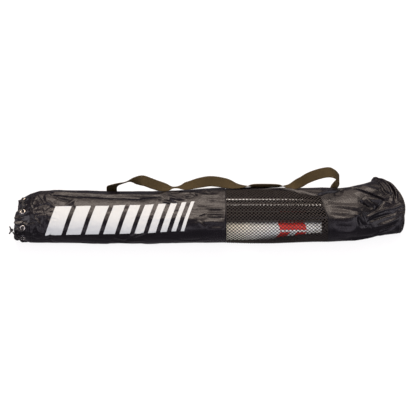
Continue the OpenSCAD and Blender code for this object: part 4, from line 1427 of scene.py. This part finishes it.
# x, y, z and the direction of the width, before the shift to the frame's origin
STRAP_POINTS = [
    [-231, 80, 36, 1, 0, 0], [-231, 80, 45, 1, 0, 0], [-230, 78, 57, 1, 0, 0],
    [-224, 76, 68, 0.9, 0.25, -0.35], [-210, 74, 80, 0.6, 0.4, -0.65],
    [-190, 72, 92, 0, 0.45, -0.87], [-172, 71, 98, 0, -0.26, -0.97],
    [-154, 70, 100, 0, -0.86, -0.5], [-136, 68.5, 90, 0, -0.86, -0.45],
    [-116, 68, 78, 0, -0.86, -0.2], [-98, 69, 70.5, 0, -0.8, 0.25],
    [-84, 69.5, 68, 0, -0.6, 0.75], [-70, 70, 70, 0, -0.62, 0.7],
    [-56, 70, 74.5, 0, -0.85, 0.25], [-43, 70, 79, 0, -0.9, 0.05],
    [-18, 71, 89, 0, -0.88, -0.35], [8, 72, 94, 0, -0.86, -0.5],
    [42, 72, 85, 0, -0.9, -0.2], [72, 69.5, 75.5, 0, -0.78, 0.56],
    [94, 69.4, 75, 0, -0.52, 0.85], [112, 70.3, 76.3, 0, -0.26, 0.97],
    [163, 70.2, 75.8, 0, -0.26, 0.97], [180, 69.2, 75, 0, -0.52, 0.85],
    [194, 69, 75.5, 0, -0.78, 0.5], [219, 69, 92, 0, -0.86, -0.4],
    [238, 70, 112, 0, -0.86, -0.5], [262, 71, 128.5, 0, -0.86, -0.5],
    [286, 72, 136, 0, -0.9, -0.4], [301, 73, 127, 0, -1, 0],
    [309, 75, 110, 0, -1, 0], [313, 77, 94, 0, -1, 0],
    [312, 79, 80, 0, -1, 0], [309, 82, 66, 0.05, -1, 0], [306.5, 83, 56, 0.16, -1, 0],
    [306, 82.6, 49, 0.6, -0.8, 0], [305.3, 81, 42.5, 0.96, -0.25, 0], [305, 80, 36, 1, 0, 0],
]



def webbing_outline():
    """Section of the webbing: flat faces and round selvedges, as shares of its half sizes."""
    top = [(a, 1.0) for a in np.linspace(-0.955, 0.955, 9)]
    right = [(0.985, 0.55), (1.0, 0.0), (0.985, -0.55)]
    bottom = [(a, -b) for a, b in top[::-1]]
    return np.array(top + right + bottom + [(-a, b) for a, b in right[::-1]])


def webbing_form(points, steps):
    """Webbing along points in the source's millimetres with the direction of its width."""
    rows = spline(points, steps)
    path = rows[:, :3] + SHIFT
    along = np.gradient(path, axis=0)
    along /= np.linalg.norm(along, axis=1, keepdims=True)
    side = rows[:, 3:] - along * np.sum(rows[:, 3:] * along, axis=1, keepdims=True)
    side /= np.linalg.norm(side, axis=1, keepdims=True)
    face = np.cross(along, side)
    outline = webbing_outline()
    rings = (
        path[:, None]
        + outline[None, :, :1] * side[:, None] * WEBBING_WIDTH / 2
        + outline[None, :, 1:] * face[:, None] * WEBBING_THICKNESS / 2
    )
    faces = [quad[::-1] for quad in capped_faces(*rings.shape[:2])]
    across = outline[:, 0] * WEBBING_WIDTH / 2 + WEBBING_V
    return rings, faces, np.stack(grid(distances(path) * MM, across * MM), -1)


def strap_end_form(x):
    """The rolled end of the strap, which turns on its tab."""
    turns = np.linspace(0, 2 * math.pi, 24, endpoint=False)
    widths = np.linspace(-WEBBING_WIDTH / 2, WEBBING_WIDTH / 2, 9)
    sizes = KNUCKLE * np.array([0.6] + [1.0] * 7 + [0.6])[:, None]
    width, turn = grid(widths, turns)
    y, z = STRAP_AXIS[0] + sizes * np.cos(turn), STRAP_AXIS[1] + sizes * np.sin(turn)
    uv = np.stack([turn * KNUCKLE * MM, (width + WEBBING_V) * MM], -1)
    return np.stack([x + width, y, z], -1) + SHIFT, capped_faces(9, 24), uv


def tab_points(x):
    """Way of a tab's webbing, from the back of the bag to the strap's axis."""
    lift = 3 * GAP + WEBBING_THICKNESS / 2
    sewn = [wall(x + SHIFT[0], angle, -lift) - SHIFT for angle in (316, 326, 336)]
    wall_y = float(wall(x + SHIFT[0], 0, -lift)[1] - SHIFT[1])
    y, z = STRAP_AXIS
    places = [at[1:] for at in sewn]
    places += [((wall_y + y) / 2, z - 12), (y, z - 6), (y, z - KNUCKLE - GAP)]
    return np.array([[x, *place, 1, 0, 0] for place in places], float)


class NETSET_OT_stitching(bpy.types.Operator):
    """Sews the seams of the bag"""

    bl_idname = "netset.stitching"
    bl_label = "Stitching"

    def execute(self, context):
        bag = context.scene.net_set_bag
        thread = braided_cord(bag, "polyester sewing thread")
        sizes = {
            "Pitch": float(bag.stitch_pitch),
            "Stitch length": float(bag.stitch_length),
            "Thread radius": float(bag.thread_radius),
        }
        angles = even_angles(-50, 230, 200)
        seams = [HEM_X + 4.0, HEM_X + 8.0, WINDOW_START - 3.5, WINDOW_START - 7.0]
        seams += [window_seam(angles) + inset for inset in (3.5, 7.0)]
        seams.append(END_X - 4.0)
        paths = []
        for x in seams:
            path = crumpled(x, angles, -STITCH_LIFT, bag.crumple)
            path[..., 2] = np.maximum(path[..., 2], STITCH_LOWEST)
            paths.append(path)
        piece = grow("seam_stitches", paths, sizes, thread, stitches)
        dress(piece, thread, "bag", "cord")
        return {"FINISHED"}


# Height of the stitches over the fabric, and of the lowest ones over the ground
STITCH_LIFT = 0.15
STITCH_LOWEST = 0.8


class NETSET_OT_tubes(bpy.types.Operator):
    """Paints the tubes and finishes their plugs, tees, buttons and springs"""

    bl_idname = "netset.tubes"
    bl_label = "Tubes and Tees"

    def execute(self, context):
        net = context.scene.net_set_net
        plastic, steel = moulded_plastic(net), plated_steel(net)
        finishes = {
            "tube_paint": enamelled_tube(net), "plug_plastic": plastic, "tee_plastic": plastic,
            "button_steel": steel,
        }
        for part in frame["record"]["subparts"]:
            if part["material_slot"] in finishes:
                materials = frame["nodes"][part["node"]].data.materials
                materials.clear()
                materials.append(finishes[part["material_slot"]])
        for joint in frame["record"]["behaviour"]["joints"]:
            for spring in joint.get("deforming_nodes", ()):
                leaf_spring(spring, steel)
        return {"FINISHED"}


def leaf_spring(spring, material):
    """A button's spring: a copy of its frame node with finer faces."""
    node = spring["node"]
    form = bmesh.new()
    form.from_mesh(frame["nodes"][node].data)
    bmesh.ops.remove_doubles(form, verts=form.verts[:], dist=1e-6)
    bmesh.ops.subdivide_edges(form, edges=form.edges[:], cuts=4, use_grid_fill=True)
    made = bpy.data.meshes.new(node + "_leaf")
    form.to_mesh(made)
    form.free()
    made.materials.append(material)
    piece = linked(made.name, made)
    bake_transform(piece)
    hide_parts(node)


class NETSET_OT_net(bpy.types.Operator):
    """Rolls the net and winds its head tape and its tie round it"""

    bl_idname = "netset.net"
    bl_label = "Rolled Net"

    def execute(self, context):
        net = context.scene.net_set_net
        centre, radius, start, end = tube_circle("net_roll")
        inner, outer = NET_CORE, radius - NET_CLEAR
        core = spiral_sheet("net_roll_netting", centre, inner, outer, net.turns, start, end)
        dress(core, rolled_netting(net), "bag", "net_cord", "net_roll")
        band = wound_tape("net_band_tape", "net_band")
        dress(band, vinyl_tape(net), "bag", "net_tape", "net_band")
        tie = wound_tape("net_tie_strap", "net_tie")
        dress(tie, woven_webbing(context.scene.net_set_bag), "bag", "tie_tape", "net_tie")
        return {"FINISHED"}


# Radius of the hollow in the roll, gap round it, thickness of the net and the share of that
# which is drawn solid, and steps in each turn
NET_CORE = 3.0
NET_CLEAR = 0.4
NET_THICKNESS = 1.3
NET_SOLID = 0.8
NET_STEPS = 60


def spiral_sheet(name, centre, inner, outer, turns, start, end):
    """A net rolled up: one sheet that winds outwards."""
    count = turns * NET_STEPS
    share = np.linspace(0, 1, count)
    turn = share * turns * 2 * math.pi
    middle = inner + (outer - inner - NET_THICKNESS / 2) * share
    xs = np.linspace(start, end, 5)
    skins = []
    for offset in (NET_THICKNESS / 2, -NET_THICKNESS / 2):
        size = middle + offset * NET_SOLID
        ring = np.stack([centre[0] + size * np.cos(turn), centre[1] + size * np.sin(turn)], -1)
        skins.append([np.column_stack([np.full(count, x), ring]) for x in xs])
    rows = np.array(skins[0] + skins[1][::-1])
    faces = grid_quads(len(rows) + 1, count) % (len(rows) * count)
    run = np.cumsum(middle) * 2 * math.pi / NET_STEPS
    uv = np.stack(grid(np.concatenate([xs, xs[::-1]]) * MM, run * MM), -1)
    loop = np.arange(len(rows)) * count
    faces = faces.tolist() + [loop.tolist(), (loop[::-1] + count - 1).tolist()]
    return mesh_object(name, rows, faces, uv)


TAPE_STEPS = 120
TAPE_CELL = 2.6
# The tape's two skins: how far under its radius, and how much they wave; and their limits
TAPE_SKINS = ((0.25, 1), (1.25, 0.3))
TAPE_LIMITS = (1.3, -0.15)


def wound_tape(name, node):
    """Tape wound once round the roll, over a frame node's length, with soft waves."""
    centre, radius, _, _ = tube_circle("net_band")
    _, _, start, end = tube_circle(node)
    x, angle = grid(
        np.linspace(start, end, max(int((end - start) / TAPE_CELL), 6)),
        np.linspace(0, 2 * math.pi, TAPE_STEPS, endpoint=False),
    )
    v = angle * radius
    waves = 0.35 * swell(x, v, 28, 501) + 0.25 * pleats(x, v, 22, 511)
    skins = []
    for depth, share in TAPE_SKINS:
        reach = np.clip(radius - depth + waves * share, *(radius - limit for limit in TAPE_LIMITS))
        y, z = centre[0] + reach * np.cos(angle), centre[1] + reach * np.sin(angle)
        skins.append(np.stack([x, y, z], -1))
    rows = np.concatenate([skins[0], skins[1][::-1]])
    faces = grid_quads(len(rows) + 1, TAPE_STEPS, True) % (len(rows) * TAPE_STEPS)
    uv = np.stack([x * MM, v * MM], -1)
    return mesh_object(name, rows, faces, np.concatenate([uv, uv[::-1]]))


class NETSET_OT_stage(bpy.types.Operator):
    """Sets the floor, the lights and the camera"""

    bl_idname = "netset.stage"
    bl_label = "Stage"

    def execute(self, context):
        stage = context.scene.net_set_stage
        mesh = bpy.data.meshes.new("floor")
        corners = [(x * FLOOR_REACH, y * FLOOR_REACH, 0) for x, y in FLOOR_CORNERS]
        mesh.from_pydata(corners, [], [(0, 1, 2, 3)])
        floor = linked("floor", mesh)
        material, tree = new_material("matt studio floor")
        finish_surface(
            tree,
            {
                "Base Color": stage.floor_colour, "Roughness": 0.9,
                "Specular IOR Level": 0.1, "Emission Color": (1.0, 1.0, 1.0, 1.0),
                "Emission Strength": FLOOR_GLOW,
            },
        )
        mesh.materials.append(material)
        # no piece mirrors the bright table
        floor.visible_glossy = False

        world = bpy.data.worlds.new("studio")
        world.use_nodes = True
        background = world.node_tree.nodes["Background"]
        background.inputs["Color"].default_value = linear(WORLD_COLOUR)
        background.inputs["Strength"].default_value = WORLD_STRENGTH
        context.scene.world = world
        context.scene.view_settings.view_transform = "Standard"
        for light in LIGHTS:
            area_light(*light)
        # a bright lamp that draws thin lines of light on the tubes alone
        tubes = bpy.data.collections.new("tubes under the netting")
        for node, piece in frame["nodes"].items():
            if node.startswith(("upright", "base_rail", "foot_bar")):
                tubes.objects.link(piece)
        area_light(*TUBE_LIGHT).light_linking.receiver_collection = tubes

        camera = bpy.data.cameras.new("camera")
        camera.sensor_width = 36.0
        camera.lens = camera.sensor_width * CAMERA_DISTANCE / stage.view_width
        viewer = linked("camera", camera)
        out = Vector((0, -math.cos(CAMERA_ELEVATION), math.sin(CAMERA_ELEVATION)))
        viewer.location = Vector(CAMERA_AIM) + (CAMERA_DISTANCE + HALF_BAG) * out
        viewer.rotation_euler = (math.radians(90) - CAMERA_ELEVATION, 0.0, 0.0)
        camera.clip_start, camera.clip_end = 0.1, 100.0
        context.scene.camera = viewer
        return {"FINISHED"}


# A long lens keeps the bag's far side as large as its near side
CAMERA_DISTANCE = 11.0
CAMERA_ELEVATION = math.radians(60)
CAMERA_AIM = (MIDDLE_X * MM, 0.0244, 0.0)
# From the ground to the part of the bag that is at that distance
HALF_BAG = 0.02
FLOOR_REACH = 40.0
FLOOR_CORNERS = ((-1, -1), (1, -1), (1, 1), (-1, 1))
# The floor is a softly lit table, which keeps the shadow faint
FLOOR_GLOW = 0.86
WORLD_COLOUR, WORLD_STRENGTH = "#f2e8f2", 0.22
# Name, place, aim, size, watts and colour
LIGHTS = [
    ("overhead softbox", (0.0, 1.15, 1.95), (0, 0, 0), (2.6, 2.3), 46.0, "#ffe9d8"),
    ("strip light", (0.0, 1.3, 2.15), (0, 0, 0), (2.6, 0.5), 42.0, "#fff0e2"),
    ("back panel", (0.0, 2.2, 1.0), (0, 0, 0), (2.6, 1.0), 17.0, "#ffe9d8"),
    ("front fill", (0.0, -1.2, 2.1), (0, 0, 0), (2.0, 2.0), 20.0, "#f6eefa"),
    ("front left panel", (-0.95, -1.9, 1.3), (-0.95, 0, 0), (1.7, 1.5), 14.0, "#f2e8f6"),
    ("front right panel", (1.18, -1.9, 1.3), (1.18, 0, 0), (1.7, 1.5), 14.0, "#f2e8f6"),
    ("left panel", (-2.3, -0.5, 1.6), (0, 0, 0), (1.8, 1.8), 26.0, "#f4eef6"),
    ("right panel", (2.3, -0.7, 1.5), (0, 0, 0), (1.8, 1.8), 28.0, "#f2ecf6"),
]
TUBE_LIGHT = ("tube lamp", (0.0, 1.0, 2.3), (0, 0, 0), (2.6, 0.3), 120.0, "#fff8f0")


def area_light(name, place, aim, size, power, hex_colour):
    """A rectangular lamp that the camera doesn't see."""
    light = bpy.data.lights.new(name, "AREA")
    light.shape = "RECTANGLE"
    light.size, light.size_y = size
    light.energy = power
    light.color = linear(hex_colour)[:3]
    made = linked(name, light)
    made.location = place
    made.rotation_euler = (Vector(aim) - Vector(place)).to_track_quat("-Z", "Y").to_euler()
    made.visible_camera = False
    # the fill leaves no sheen on the nylon and the tubes
    made.visible_glossy = name != "front fill"
    return made


class NETSET_PT_panel(bpy.types.Panel):
    """Lists the pieces of the net set"""

    bl_idname = "NETSET_PT_panel"
    bl_label = "Net Set"
    bl_space_type = "VIEW_3D"
    bl_region_type = "UI"
    bl_category = "Net Set"

    def draw(self, context):
        for step in STEPS:
            self.layout.operator(step.bl_idname)
        for settings in GROUPS:
            box = self.layout.box()
            group = getattr(context.scene, settings)
            for key in group.__annotations__:
                box.prop(group, key)


STEPS = (
    NETSET_OT_stage,
    NETSET_OT_fabric,
    NETSET_OT_closed_end,
    NETSET_OT_mouth,
    NETSET_OT_window,
    NETSET_OT_strap,
    NETSET_OT_stitching,
    NETSET_OT_tubes,
    NETSET_OT_net,
)
GROUPS = {
    "net_set_bag": BagSettings,
    "net_set_net": NetSettings,
    "net_set_stage": StageSettings,
}


def register():
    for group in GROUPS.values():
        bpy.utils.register_class(group)
    for name, group in GROUPS.items():
        setattr(bpy.types.Scene, name, bpy.props.PointerProperty(type=group))
    for step in STEPS:
        bpy.utils.register_class(step)
    bpy.utils.register_class(NETSET_PT_panel)


def unregister():
    bpy.utils.unregister_class(NETSET_PT_panel)
    for step in reversed(STEPS):
        bpy.utils.unregister_class(step)
    for name, group in GROUPS.items():
        delattr(bpy.types.Scene, name)
        bpy.utils.unregister_class(group)


def main():
    register()
    for step in STEPS:
        group, name = step.bl_idname.split(".")
        getattr(getattr(bpy.ops, group), name)()


if __name__ == "__main__":
    main()
